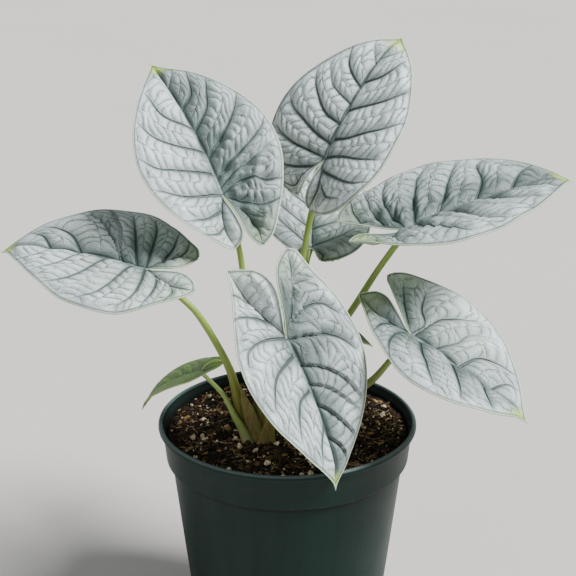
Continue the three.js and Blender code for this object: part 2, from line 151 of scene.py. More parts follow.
# Each leaf by the CAD's values, but for its lobes' ends, and with its veins: (root, strength, points out to
# the margin). A root is a distance on the midrib from the stalk, or on the lobe's rib where it is negative.
# Points are (across, fore). puffs: how far the lobes' ends swell. corner: where the notch's edge turns out.
# lip: degrees that the notch's edge stands up, where that isn't LIP_ANGLE. dark: how much painted shade
# each half carries. green: how much greener. fresh: how yellow-green each lobe's end is. crumple: how
# uneven it is.
LEAVES = [
    dict(
        name="upper_left", corner=0.7, at=(-35.5, -10, 280.5), heading=126, rise=41.5, roll=15,
        length=99.5, lobes=(32, 35), widths=(40, 39.5), rounds=(1, 0.9), tapers=(1.2, 1.05),
        splays=(7, 8), sinus=1.45, bulges=(6, 6.5), puffs=(3, 3), folds=(16, 14), bows=(3.5, 2.5),
        droop=5, hook=3, sway=3, lobe_lift=6, twist=-2,
        foot=(-14, -13.5), radii=(2.9, 1.7),
        route=((-18, -14, 172), (-23, -11, 214), (-27, -7, 249)),
        dark=(0.15, 1.35), green=(0.05, 0.15), fresh=(0.1, 0.15), crumple=(1.0, 3.0),
        veins=(
            (
                (46, 1, ((13.5, 58), (16, 75))),
                (29, 1, ((15.5, 36.5), (25.5, 45), (30, 56))),
                (14, 1, ((22, 21), (32.5, 25), (40, 34))),
                (0.5, 1, ((16, 2.2), (25, 4.5), (38.5, 12))),
            ),
            (
                (77, 0.45, ((6.5, 85), (8, 90))),
                (60, 0.9, ((9, 67), (13, 80))),
                (43, 1, ((12.3, 54), (16.7, 63), (20.5, 71.5))),
                (23.5, 1, ((10, 31.5), (19, 39), (26, 46.5), (31.5, 55))),
                (10, 1, ((12, 17), (22.5, 22), (34.5, 29), (39, 34.5))),
                (4.5, 0.7, ((12.5, 10.5), (24, 13.5), (36, 18.5))),
                (0.5, 1.1, ((8, 3), (15.5, 3.5), (26, -2), (33, -4))),
                (-2, 1, ((10.5, -10), (18, -14), (30, -14))),
            ),
        ),
    ),
    dict(
        name="upper_right", corner=0.7, at=(21, 27.5, 291), heading=27, rise=57.5, roll=-22,
        length=85.5, lobes=(26, 29.5), widths=(39.5, 44), rounds=(0.5, 0.5), tapers=(1, 0.75),
        splays=(10, 2.5), sinus=1.4, bulges=(5.5, 3), puffs=(0, 1), folds=(10, 17), bows=(5.5, 3),
        droop=7, hook=16, sway=-2.5, lobe_lift=32, twist=24,
        foot=(-18.5, -4.5), radii=(2.9, 1.7),
        route=((-9, -2, 167), (2, 10, 206), (9, 19, 235), (14, 26, 260)),
        dark=(0, 0), green=(0.05, 0.05), fresh=(0.05, 0.15), crumple=(1.0, 1.0),
        veins=(
            (
                (62, 0.4, ((7, 70), (9, 76))),
                (46, 1, ((10, 52), (14.5, 57), (16.5, 62))),
                (35, 0.6, ((14.5, 40), (20, 46))),
                (22, 1, ((11.5, 24.5), (20, 31), (25.5, 37), (28, 42))),
                (9.5, 1, ((12.5, 12), (24, 16), (32, 19), (36, 23))),
                (1, 1, ((13.5, 1), (24, 1), (34, 3), (38, 5))),
                (-6, 1, ((16, -10.5), (27, -13))),
                (-17, 0.8, ((13, -21.5), (20, -22))),
            ),
            (
                (66, 0.4, ((6, 73), (8, 78))),
                (49.5, 1, ((8, 56), (11.5, 62.5), (13.5, 70))),
                (31, 1, ((11, 38), (20.5, 45), (29, 54))),
                (13, 1, ((10, 16.5), (22, 24.5), (31, 30.5), (39, 38))),
                (1.5, 1, ((13, 6), (25, 8.5), (38, 12.5))),
                (-6, 1, ((22, -5.5), (32, -4), (40, -1))),
                (-13, 0.9, ((15, -17), (24, -15))),
            ),
        ),
    ),
    dict(
        name="right", corner=0.6, lip=14, at=(66.5, 2.5, 257.5), heading=14, rise=12.5, roll=-6.5,
        length=104, lobes=(34, 38), widths=(45, 47), rounds=(0.75, 0.95), tapers=(0.95, 0.9),
        splays=(20.5, 14), sinus=1.05, bulges=(1, 4), puffs=(1, 2), folds=(18, 26), bows=(6, 10.5),
        droop=-4, hook=11, sway=-4, lobe_lift=-33, twist=5,
        foot=(-5.5, -9), radii=(2.9, 1.9),
        route=((2, -6, 157), (19, -3, 183), (37, 3, 208), (52, 6, 232)),
        dark=(1.5, 1.5), green=(0.12, 0.12), fresh=(0.1, 0.4), crumple=(2.2, 1.8),
        veins=(
            (
                (66, 0.9, ((11, 76), (17, 86))),
                (44, 1, ((15, 55), (29, 58), (32, 66))),
                (20, 1, ((11, 29), (25, 38), (35, 45))),
                (6, 1, ((16, 12), (28, 18), (38, 23), (43, 28))),
                (0.5, 1, ((17, -4), (32, -2), (45, 4))),
            ),
            (
                (70, 0.9, ((12, 79), (18, 88))),
                (48, 1, ((20, 59), (28, 72))),
                (25, 1, ((30, 34), (42, 47))),
                (2, 1, ((20, 8), (44, 24))),
            ),
        ),
    ),
    dict(
        name="back", corner=0.6, at=(14, 50.5, 230.5), heading=82, rise=43, roll=-14,
        length=91, lobes=(5, 7), widths=(33, 34), rounds=(0.6, 0.55), tapers=(1, 0.95),
        splays=(5, 7), sinus=1.3, bulges=(2, 2), puffs=(0.5, 0.5), folds=(13, 9), bows=(5, 4.5),
        droop=6, hook=12, sway=-2, lobe_lift=0, twist=0,
        foot=(-12, -5.5), radii=(2.9, 1.6), route=((-5, 6, 164), (5, 22, 198), (9, 34, 216)),
        dark=(0, 0.5), green=(0.05, 0.35), fresh=(0.12, 0.3), crumple=(0.7, 0.7),
        veins=None,
    ),
    dict(
        name="left", corner=0.5, lip=14, at=(-77, -29, 244.5), heading=161, rise=4, roll=21.5,
        length=92.5, lobes=(33.5, 24.5), widths=(38.5, 36.5), rounds=(0.95, 0.9),
        tapers=(1.2, 1.05), splays=(11.5, 15.5), sinus=1.5, bulges=(7, 7), puffs=(3, 3), folds=(14, 12),
        bows=(10, 8), droop=3, hook=16, sway=3.5, lobe_lift=-6.5, twist=0,
        foot=(-21.5, -12.5), radii=(2.9, 1.7),
        route=(
            (-25, -13, 142), (-28, -16, 158), (-33, -22, 183), (-46.5, -28, 213), (-57, -29, 226.5),
        ),
        dark=(0, 0.45), green=(0.3, 0.45), fresh=(0.15, 0.25), crumple=(1.2, 1.2),
        veins=(
            (
                (58, 0.9, ((10, 66), (15, 76))),
                (41, 0.9, ((14, 49), (22, 60))),
                (25, 1, ((13.5, 30), (22.5, 35.5), (28, 43), (31, 50))),
                (8.5, 1, ((19.5, 12.5), (30, 17), (35, 23), (38, 28))),
                (0.5, 1, ((14, -3), (26, -3), (36, 3))),
            ),
            (
                (60, 0.8, ((8, 68), (11, 77))),
                (41, 1, ((10.5, 51), (15, 62), (15.5, 71))),
                (17, 0.6, ((19.5, 23.5), (31, 33), (35, 38))),
                (14.5, 1, ((14.5, 29), (23.5, 39), (29.5, 50))),
                (6, 1, ((12, 11.5), (24, 17.5), (36.5, 24.5))),
                (0.5, 1, ((14, 2), (27, 5), (36, 10))),
            ),
        ),
    ),
    dict(
        name="front", corner=0.5, at=(-0.5, -55, 214.5), heading=-41, rise=-61, roll=-14.5,
        length=88.5, lobes=(44.5, 44.5), widths=(33.5, 33), rounds=(1.15, 1.45),
        tapers=(1.25, 1.35), splays=(20, 17.5), sinus=2, bulges=(8.5, 9.5), puffs=(3.5, 1.5),
        folds=(15, 16), bows=(4, 8), droop=7, hook=15, sway=-3, lobe_lift=1.5, twist=-7.5,
        foot=(-10.5, -21.5), radii=(2.9, 1.7), route=((-10, -25, 164), (-6, -35, 193)),
        dark=(1.1, 0.25), green=(0.15, 0.03), fresh=(0.12, 0.12), crumple=(1.0, 1.0),
        veins=(
            (
                (57, 0.8, ((6, 65), (8.5, 74))),
                (38.5, 1, ((5, 44), (10.5, 52), (16, 62))),
                (27, 0.6, ((10.5, 34), (21.5, 49))),
                (16, 1, ((8.5, 20), (15.5, 25.5), (21, 32.5), (25.5, 43))),
                (1, 1, ((12, 3), (21, 6.5), (28, 12), (32.5, 19))),
                (-7, 1, ((16, -11), (25.5, -10), (32, -3))),
                (-20, 0.9, ((12, -26), (21, -25))),
            ),
            (
                (52, 0.8, ((6.5, 60), (9.5, 70))),
                (31, 1, ((10.5, 34), (15, 40), (17.5, 45.5), (19.5, 52))),
                (10, 1, ((12, 14), (18.5, 17), (23, 21.5), (26.5, 27.5), (29, 33))),
                (0.5, 1, ((12.5, -2.5), (22, -2.5), (28.5, 0.5), (32, 7))),
                (-10, 1, ((15, -16), (24, -19), (31, -18))),
                (-25, 0.9, ((20, -31), (27, -31))),
            ),
        ),
    ),
    dict(
        name="lower_right", corner=0.62, at=(69, -23.5, 204.5), heading=-39, rise=-23.5, roll=0,
        length=83.5, lobes=(38, 35), widths=(42.5, 42.5), rounds=(0.8, 1.2), tapers=(1.1, 0.8),
        splays=(18.5, 9.5), sinus=1.55, bulges=(8.5, 6.5), puffs=(4, 2), folds=(17, 19.5), bows=(3.5, 12),
        droop=-3, hook=1.5, sway=-2, lobe_lift=-29, twist=-6,
        foot=(-3.5, -16), radii=(2.9, 1.8),
        route=((7, -17, 144), (25, -18, 158), (46, -19, 172), (58, -21, 187)),
        dark=(0.4, 1.1), green=(0.3, 0.2), fresh=(0.2, 0.35), crumple=(1.2, 1.2),
        veins=(
            (
                (55, 0.8, ((11, 58.5), (13, 63))),
                (33.5, 1, ((13.5, 36.5), (19.5, 45.5), (22, 56))),
                (16, 0.6, ((13, 21.5), (24.5, 22.5), (35, 32))),
                (2, 1, ((19.5, 4), (27, 8.5), (33, 13.5), (38, 18))),
                (0.5, 1, ((11, 1.5), (20, -9), (31, -16))),
                (-6, 0.9, ((14, -17), (22, -27))),
            ),
            (
                (50, 0.9, ((11, 58), (19, 66))),
                (27, 1, ((13, 38), (24, 47.5), (33, 54))),
                (6, 1, ((14, 15), (22, 23), (28, 28.5), (37, 38))),
                (0.5, 1, ((14, -2), (28, 2), (38, 10))),
            ),
        ),
    ),
    dict(
        name="young_left", corner=0.8, at=(-50, -9.3, 175.8), heading=154, rise=-29.5, roll=11.5,
        length=55, lobes=(20, 17), widths=(15.5, 14.5), rounds=(0.8, 0.7), tapers=(0.9, 0.95),
        splays=(2, 2.5), sinus=1.1, bulges=(0.5, 0), puffs=(0.5, 0.5), folds=(11, 6), bows=(7, 7.5),
        droop=11, hook=18, sway=6, lobe_lift=-3.5, twist=-7.5,
        foot=(-21, -21), radii=(2.9, 1.1),
        route=((-25, -20.5, 142), (-31, -19, 153), (-37, -16, 164)),
        dark=(0, 0), green=(0, 0), fresh=(0.5, 0.5), crumple=(0.6, 0.6), veins=None,
    ),
    dict(
        name="young_back", corner=0.6, at=(8, -25, 214), heading=16, rise=-22, roll=-8,
        length=48, lobes=(11, 11), widths=(13, 13), rounds=(0.75, 0.75), tapers=(0.95, 0.95),
        splays=(8, 8), sinus=1.1, bulges=(1, 1), puffs=(0.5, 0.5), folds=(12, 12), bows=(7, 7),
        droop=6, hook=8, sway=0, lobe_lift=0, twist=0,
        foot=(1, -11), radii=(2, 1.1), route=((1.5, -12, 150), (4, -17, 179)),
        dark=(0, 0), green=(0, 0), fresh=(0.5, 0.5), crumple=(0.6, 0.6), veins=None,
    ),
]

# Papery scales round the crown, close to the CAD's, and two sheaths round the stalks' feet
SCALE_THICKNESS = 0.49
SCALE_BULGE = 1.6
SCALE_COLUMNS = 14
SCALES = [
    dict(
        name="papery_scale_front", node="cataphyll_front", slot="scale", finish="scale",
        half_width=3.4, facing=(-0.3, -0.95, 0),
        route=((-17, -17.2, 131), (-20, -16.3, 145), (-25.5, -15.5, 162)),
    ),
    dict(
        name="papery_scale_back", node="cataphyll_back", slot="scale", finish="scale",
        half_width=3.6, facing=(-0.9, 0.45, 0),
        route=((-23.4, -7, 131), (-26, -4.5, 140), (-31, -3, 152)),
    ),
    dict(
        name="stalk_sheath_left", node="petiole_left", slot="stalk", finish="sheath",
        half_width=5.4, facing=(-0.2, -0.97, 0),
        route=((-17.2, -20.6, 131), (-19.4, -19.8, 145), (-23.2, -19.2, 158), (-28, -18.2, 172)),
    ),
    dict(
        name="stalk_sheath_front", node="petiole_front", slot="stalk", finish="sheath",
        half_width=4.8, facing=(-0.15, -0.98, 0),
        route=((-12.6, -24.6, 131), (-12.2, -25.6, 142), (-10.6, -27.2, 154)),
    ),
]


# Nodes

def put(tree, kind, inputs=None, **settings):
    node = tree.nodes.new(kind)
    for name, value in settings.items():
        setattr(node, name, value)
    for key, value in (inputs or {}).items():
        if isinstance(value, bpy.types.NodeSocket):
            tree.links.new(value, node.inputs[key])
        else:
            node.inputs[key].default_value = value
    return node


def calc(tree, operation, first, second=0.0, third=1.0, clamp=False):
    inputs = {0: first, 1: second, 2: third}
    return put(tree, "ShaderNodeMath", inputs, operation=operation, use_clamp=clamp).outputs[0]


def times(tree, first, *others):
    for other in others:
        first = calc(tree, "MULTIPLY", first, other)
    return first


def plus(tree, first, *others):
    for other in others:
        first = calc(tree, "ADD", first, other)
    return first


def off_whole(tree, value):
    """How far the value is from the nearest whole number."""
    return calc(tree, "ABSOLUTE", calc(tree, "SUBTRACT", value, calc(tree, "ROUND", value)))


def remap(tree, value, low, high, to_low=0.0, to_high=1.0, smooth=False):
    inputs = {"Value": value, 1: low, 2: high, 3: to_low, 4: to_high}
    shape = "SMOOTHSTEP" if smooth else "LINEAR"
    return put(tree, "ShaderNodeMapRange", inputs, interpolation_type=shape).outputs[0]


def spread(tree, value, to_low=0.0, to_high=1.0):
    """The middle of a noise's range, spread over the range that is given."""
    return remap(tree, value, 0.3, 0.7, to_low, to_high)


def rgba(colour):
    return (*colour, 1) if isinstance(colour, tuple) else colour


def coats(tree, base, *layers):
    """The base colour with (share, colour) pairs laid over it. A colour is a socket or three numbers."""
    for share, colour in layers:
        inputs = {0: share, 6: rgba(base), 7: rgba(colour)}
        base = put(tree, "ShaderNodeMix", inputs, data_type="RGBA").outputs[2]
    return base


def layer(tree, name):
    return put(tree, "ShaderNodeAttribute", attribute_name=name).outputs["Fac"]


def object_place(tree):
    return put(tree, "ShaderNodeTexCoord").outputs["Object"]


def clouds(tree, scale, detail=3.0, roughness=0.55, place=None):
    inputs = {
        "Vector": place or object_place(tree), "Scale": scale, "Detail": detail, "Roughness": roughness,
    }
    return put(tree, "ShaderNodeTexNoise", inputs).outputs["Fac"]


def streaks_up(tree, scale, stretch):
    """Noise drawn out along the piece's height."""
    inputs = {"Vector": object_place(tree), "Scale": (1, 1, stretch)}
    return clouds(tree, scale, 3, 0.6, put(tree, "ShaderNodeMapping", inputs).outputs[0])


def new_group(name, inputs, outputs):
    group = bpy.data.node_groups.new(name, "ShaderNodeTree")
    for label, value in inputs:
        socket = group.interface.new_socket(label, in_out="INPUT", socket_type="NodeSocketFloat")
        socket.default_value = value
    for label in outputs:
        group.interface.new_socket(label, in_out="OUTPUT", socket_type="NodeSocketFloat")
    return group, group.nodes.new("NodeGroupInput").outputs, group.nodes.new("NodeGroupOutput")


def use_group(tree, group, **inputs):
    node = put(tree, "ShaderNodeGroup", node_tree=group)
    for label, value in inputs.items():
        node.inputs[label.replace("_", " ")].default_value = value
    return node.outputs


def new_material(name):
    material = bpy.data.materials.new(name)
    material.use_nodes = True
    return material, material.node_tree


def finish_surface(material, colour, roughness, height, distance, strength=1.0, specular=0.5):
    tree = material.node_tree
    shader = tree.nodes["Principled BSDF"]
    bump = put(
        tree, "ShaderNodeBump", {"Height": height, "Distance": distance, "Strength": strength}
    )
    tree.links.new(colour, shader.inputs["Base Color"])
    tree.links.new(roughness, shader.inputs["Roughness"])
    tree.links.new(bump.outputs["Normal"], shader.inputs["Normal"])
    shader.inputs["Specular IOR Level"].default_value = specular
    return material


# Shared effects

def vein_masks(group, given, girth):
    """Masks of the main veins and of the darker band beside them, which is partly painted shade, and the
    distance to the nearest one.
    """
    left_over = calc(group, "MULTIPLY_ADD", off_whole(group, layer(group, "strip")), -2.0)
    left_over = calc(group, "MAXIMUM", left_over, 0.002)
    gap = times(group, calc(group, "LOGARITHM", left_over, math.e), -VEIN_REACH)
    side = plus(group, girth, given["Main Width"])
    line = remap(group, gap, girth, side, 1.0, 0.0, True)
    fall = calc(group, "DIVIDE", times(group, gap, -1.0), given["Halo Reach"])
    halo = times(group, calc(group, "EXPONENT", fall), remap(group, girth, 0.02, 0.4))
    return times(group, line, remap(group, girth, 0.02, 0.25)), halo, gap


def net_masks(group, given, shown):
    """Masks of the small veins between the main ones, and of the puffed cells that they frame, which carry
    a painted highlight.
    """
    fuzz = calc(group, "MULTIPLY_ADD", clouds(group, 420, 2), 0.1, -0.05)
    step = off_whole(group, plus(group, layer(group, "rung"), fuzz))
    width = calc(group, "DIVIDE", given["Rung Width"], RUNG_SPACING)
    rungs = times(group, remap(group, step, times(group, width, 0.35), width, 1.0, 0.0, True), shown)
    sway = calc(group, "MULTIPLY_ADD", clouds(group, 110, 2), 5.0, -2.5)
    off_middle = calc(group, "ABSOLUTE", plus(group, layer(group, "middle"), sway))
    between = times(
        group, remap(group, off_middle, 0.1, 0.5, 1.0, 0.0, True),
        remap(group, layer(group, "breadth"), 5.0, 9.0), shown,
    )
    mesh = times(group, remap(group, layer(group, "small_cell"), 0.05, 0.5, 1.0, 0.0, True), shown)
    pillow_highlight = times(
        group, remap(group, step, 0.0, 0.34, smooth=True),
        remap(group, off_middle, 0.0, 1.6, 0.4, 1.0, True),
    )
    return rungs, between, mesh, pillow_highlight


def midrib_masks(group, across):
    """Masks of the midrib and of the pale ribbon on top of it."""
    spine = layer(group, "spine")
    rib = remap(group, across, spine, plus(group, spine, 0.35), 1.0, 0.0, True)
    top = remap(group, across, times(group, spine, 0.45), times(group, spine, 0.75), 1.0, 0.0, True)
    ribbon = times(group, top, remap(group, spine, 0.5, 1.1))
    return times(group, rib, remap(group, spine, 0.02, 0.2)), ribbon


def vein_group():
    """Masks of a blade's veins, read from the layers that the blade carries."""
    labels = ("Main", "Halo", "Rung", "Between", "Mesh", "Pillow_Highlight", "Midrib", "Ribbon", "Groove")
    inputs = (("Main Width", 0.3), ("Rung Width", 0.3), ("Halo Reach", 2.4))
    group, given, result = new_group("leaf_veins", inputs, labels)
    across = calc(group, "ABSOLUTE", layer(group, "across"))
    main, halo, gap = vein_masks(group, given, layer(group, "girth"))
    shown = times(
        group, remap(group, layer(group, "edge"), 1.2, 3.5), remap(group, across, 1.0, 3.0),
        remap(group, gap, 0.6, 1.4), remap(group, clouds(group, 110, 2), 0.38, 0.62, 0.12, 1.0),
    )
    rungs, between, mesh, pillow_highlight = net_masks(group, given, shown)
    parts = [
        times(group, mask, share)
        for mask, share in ((main, 0.7), (rungs, 0.75), (between, 0.5), (mesh, 0.15))
    ]
    groove = plus(group, *parts)
    masks = (main, halo, rungs, between, mesh, pillow_highlight, *midrib_masks(group, across), groove)
    for label, value in zip(labels, masks):
        group.links.new(value, result.inputs[label])
    return group


def grain_group():
    """Fine speckle and broad blotches in the material of any piece."""
    inputs = (("Fine Scale", 900.0), ("Broad Scale", 40.0))
    group, given, result = new_group("grain", inputs, ("Speckle", "Blotch"))
    for label, detail, key in (("Speckle", 2.0, "Fine Scale"), ("Blotch", 4.0, "Broad Scale")):
        group.links.new(clouds(group, given[key], detail, 0.6), result.inputs[label])
    return group


VEINS = vein_group()
GRAIN = grain_group()


# Leaf materials

def blade_material(name, tones, vein_depth, roughness, bump):
    """The upper face of a blade. tones: a colour for each coat. vein_depth: how strongly veins show."""
    material, tree = new_material(name)
    veins = use_group(tree, VEINS, Main_Width=0.6, Rung_Width=0.45, Halo_Reach=3.4)
    grain = use_group(tree, GRAIN, Fine_Scale=1500.0, Broad_Scale=60.0)
    edge = layer(tree, "edge")
    speckle = spread(tree, grain["Speckle"])
    # crest: how much of the bright silver shows; raised in the middle of each cell as a painted highlight
    # on its puffed relief.
    crest = calc(tree, "MULTIPLY_ADD", veins["Pillow_Highlight"], 0.3, 0.42)
    crest = calc(tree, "ADD", crest, calc(tree, "MULTIPLY_ADD", speckle, 0.6, -0.3), clamp=True)
    # soft: the darker band beside the main veins, partly the leaf's own tone and partly painted shade.
    soft = times(tree, veins["Halo"], plus(tree, layer(tree, "depth"), 0.3))
    vein_coats = [
        (times(tree, veins[label], share * vein_depth), tones[tone])
        for label, share, tone in (
            ("Mesh", 0.12, "halo"), ("Rung", 0.34, "halo"), ("Between", 0.36, "halo"),
            ("Main", 0.85, "vein"), ("Midrib", 0.8, "vein"),
        )
    ]
    line = times(tree, remap(tree, edge, 0.5, 0.8), remap(tree, edge, 1.1, 2.0, 0.75, 0.0))
    base = coats(
        tree, tones["silver"], (crest, tones["bright"]),
        (remap(tree, grain["Blotch"], 0.35, 0.7, 0.0, 0.42), tones["dull"]),
        (layer(tree, "green"), tones["green"]), (layer(tree, "shade"), tones["shadow"]),
        (calc(tree, "MINIMUM", soft, 0.85), tones["halo"]), *vein_coats,
        (times(tree, veins["Ribbon"], 0.55), tones["ribbon"]),
        (layer(tree, "fresh"), tones["fresh"]), (line, tones["vein"]),
        (remap(tree, edge, 0.3, 0.7, 0.95, 0.0, True), tones["rim"]),
    )
    height = calc(tree, "SUBTRACT", times(tree, speckle, 0.12), veins["Groove"])
    rough = spread(tree, grain["Blotch"], roughness - 0.06, roughness + 0.06)
    return finish_surface(material, base, rough, height, bump, specular=0.45)


def underside_material(name, dull, pale, vein):
    material, tree = new_material(name)
    veins = use_group(tree, VEINS, Main_Width=0.5, Rung_Width=0.4, Halo_Reach=1.6)
    grain = use_group(tree, GRAIN, Fine_Scale=1300.0, Broad_Scale=45.0)
    vein_coats = [
        (times(tree, veins[label], share), vein)
        for label, share in (("Rung", 0.4), ("Main", 0.7), ("Midrib", 0.8))
    ]
    base = coats(tree, dull, (spread(tree, grain["Blotch"]), pale), *vein_coats)
    height = plus(tree, times(tree, grain["Speckle"], 0.12), veins["Groove"])
    return finish_surface(material, base, spread(tree, grain["Speckle"], 0.5, 0.62), height, 0.0004)


def rim_material(name, pale, deep):
    material, tree = new_material(name)
    grain = use_group(tree, GRAIN, Fine_Scale=700.0, Broad_Scale=70.0)
    base = coats(tree, pale, (remap(tree, grain["Blotch"], 0.35, 0.65), deep))
    rough = spread(tree, grain["Speckle"], 0.45, 0.6)
    return finish_surface(material, base, rough, grain["Speckle"], 0.0001)


def stalk_material():
    """Green stalks that turn olive and brown towards the foot."""
    material, tree = new_material("leaf_stalk")
    rise, young = layer(tree, "rise"), layer(tree, "young")
    grain = use_group(tree, GRAIN, Fine_Scale=1100.0, Broad_Scale=120.0)
    place = put(tree, "ShaderNodeCombineXYZ", {
        0: times(tree, layer(tree, "turn"), 7.0), 1: times(tree, rise, 0.035), 2: layer(tree, "number"),
    }).outputs[0]
    streaks = clouds(tree, 1.0, 3, 0.6, place)
    low = remap(tree, rise, 24.0, 78.0, 1.0, 0.0, True)
    aged = times(tree, low, calc(tree, "MULTIPLY_ADD", young, -0.7, 0.8))
    flecks = times(tree, low, remap(tree, grain["Speckle"], 0.62, 0.75, 0.0, 0.35))
    olive = coats(tree, (0.12, 0.075, 0.018), (remap(tree, streaks, 0.4, 0.6), (0.17, 0.145, 0.032)))
    sheath = coats(tree, (0.4, 0.37, 0.2), (remap(tree, streaks, 0.45, 0.6), (0.34, 0.23, 0.15)))
    base = coats(
        tree, (0.15, 0.23, 0.03), (remap(tree, streaks, 0.35, 0.7), (0.26, 0.35, 0.065)),
        (times(tree, young, 0.6), (0.28, 0.39, 0.11)), (aged, olive), (layer(tree, "pale"), sheath),
        (flecks, (0.1, 0.06, 0.03)),
        (remap(tree, layer(tree, "along"), 0.85, 1.0, 0.0, 0.5), (0.33, 0.42, 0.14)),
    )
    height = plus(tree, streaks, times(tree, grain["Speckle"], 0.25))
    return finish_surface(material, base, spread(tree, streaks, 0.38, 0.52), height, 0.0004, 0.6)


def scale_material(name, dark, light, fresh):
    material, tree = new_material(name)
    grain = use_group(tree, GRAIN, Fine_Scale=900.0, Broad_Scale=160.0)
    fibres = streaks_up(tree, 900, 0.12)
    base = coats(
        tree, dark, (remap(tree, fibres, 0.35, 0.65), light),
        (remap(tree, grain["Blotch"], 0.45, 0.7), fresh),
    )
    return finish_surface(material, base, spread(tree, grain["Speckle"], 0.6, 0.8), fibres, 0.0002)


# Pot and potting mix materials

def pot_material():
    """Dark green plastic: grey inside, with painted shadow under the collar and a painted highlight on top
    of the rim.
    """
    material, tree = new_material("pot_plastic")
    grain = use_group(tree, GRAIN, Fine_Scale=2200.0, Broad_Scale=18.0)
    streaks = streaks_up(tree, 130, 0.05)
    place = object_place(tree)
    level = put(tree, "ShaderNodeSeparateXYZ", {0: place}).outputs[2]
    aside = put(tree, "ShaderNodeVectorMath", {0: place, 1: (1, 1, 0)}, operation="MULTIPLY").outputs[0]
    from_axis = put(tree, "ShaderNodeVectorMath", {0: aside}, operation="LENGTH").outputs["Value"]

    def between(value, low, high, to_low=0.0, to_high=1.0, smooth=False):
        return remap(tree, value, low * MM, high * MM, to_low, to_high, smooth)

    inner = times(
        tree, between(from_axis, RIM_LIP_RADIUS - 0.9, RIM_LIP_RADIUS - 0.3, 0.8, 0.0),
        between(level, POT_HEIGHT - 14, POT_HEIGHT - 10),
    )
    # Painted shadow: the body darkened just below the collar's overhang.
    under = times(
        tree, between(level, SHOULDER_Z - 1, SHOULDER_Z + 1.2, 0.0, 0.7, True),
        between(level, COLLAR_FOOT_Z - 1.5, COLLAR_FOOT_Z - 0.2, 1.0, 0.0),
    )
    # Painted highlight: the top of the rim lightened, standing in for the sky's reflection.
    painted_rim_highlight = between(level, POT_HEIGHT - 1.5, POT_HEIGHT - 0.5, 0.0, 0.9, True)
    base = coats(
        tree, (0.0028, 0.0125, 0.0095), (spread(tree, streaks), (0.0045, 0.018, 0.014)),
        (remap(tree, grain["Blotch"], 0.5, 0.8, 0.0, 0.25), (0.012, 0.02, 0.016)),
        (inner, (0.012, 0.017, 0.0145)), (under, (0.0008, 0.003, 0.0025)),
        (painted_rim_highlight, (0.08, 0.115, 0.112)),
    )
    height = plus(tree, grain["Speckle"], times(tree, streaks, 0.8))
    rough = spread(tree, grain["Blotch"], 0.38, 0.52)
    return finish_surface(material, base, rough, height, 0.00012, 0.6, 0.14)


def crumb_material(name, dark, light, pick, roughness, bump):
    """A loose material whose pieces differ in colour. pick: how fine the differences are."""
    material, tree = new_material(name)
    grain = use_group(tree, GRAIN, Fine_Scale=1800.0, Broad_Scale=500.0)
    cells = put(tree, "ShaderNodeTexVoronoi", {"Vector": object_place(tree), "Scale": pick})
    value = put(tree, "ShaderNodeSeparateColor", {"Color": cells.outputs["Color"]}).outputs[0]
    spots = remap(tree, grain["Blotch"], 0.45, 0.7, 0.0, 0.6)
    base = coats(tree, dark, (value, light), (spots, tuple(0.45 * part for part in dark)))
    rough = spread(tree, grain["Speckle"], roughness - 0.1, roughness)
    height = plus(tree, grain["Speckle"], grain["Blotch"])
    return finish_surface(material, base, rough, height, bump, specular=0.3)


def floor_material():
    material, tree = new_material("studio_floor")
    grain = use_group(tree, GRAIN, Fine_Scale=60.0, Broad_Scale=1.5)
    base = coats(tree, (0.43, 0.415, 0.395), (grain["Blotch"], (0.47, 0.455, 0.435)))
    rough = spread(tree, grain["Speckle"], 0.8, 0.9)
    return finish_surface(material, base, rough, grain["Speckle"], 0.0002)


SILVER_TONES = dict(
    silver=(0.19, 0.245, 0.245), bright=(0.84, 0.94, 0.95), dull=(0.15, 0.2, 0.195),
    vein=(0.024, 0.042, 0.036), halo=(0.07, 0.103, 0.095), green=(0.13, 0.205, 0.095),
    shadow=(0.045, 0.071, 0.064), fresh=(0.33, 0.45, 0.075), rim=(0.42, 0.52, 0.37),
    ribbon=(0.28, 0.36, 0.36),
)
YOUNG_TONES = dict(
    silver=(0.08, 0.145, 0.035), bright=(0.17, 0.26, 0.075), dull=(0.065, 0.12, 0.03),
    vein=(0.045, 0.09, 0.022), halo=(0.07, 0.13, 0.035), green=(0.1, 0.18, 0.05),
    shadow=(0.06, 0.12, 0.03), fresh=(0.22, 0.34, 0.07), rim=(0.32, 0.45, 0.13),
    ribbon=(0.22, 0.33, 0.11),
)
FINISHES = dict(
    silver=blade_material("silver_blade", SILVER_TONES, 1.0, 0.46, 0.001),
    young=blade_material("young_blade", YOUNG_TONES, 0.8, 0.52, 0.0005),
    silver_back=underside_material(
        "silver_underside", (0.24, 0.33, 0.2), (0.34, 0.43, 0.3), (0.42, 0.5, 0.34)
    ),
    young_back=underside_material(
        "young_underside", (0.18, 0.27, 0.06), (0.25, 0.34, 0.09), (0.34, 0.43, 0.14)
    ),
    silver_rim=rim_material("silver_rim", (0.36, 0.45, 0.29), (0.26, 0.35, 0.18)),
    young_rim=rim_material("young_rim", (0.34, 0.46, 0.13), (0.27, 0.39, 0.1)),
    stalk=stalk_material(),
    scale=scale_material("papery_scale", (0.12, 0.085, 0.025), (0.3, 0.24, 0.1), (0.2, 0.21, 0.06)),
    sheath=scale_material("stalk_sheath", (0.13, 0.085, 0.022), (0.2, 0.165, 0.045), (0.19, 0.2, 0.05)),
    pot=pot_material(),
    floor=floor_material(),
)
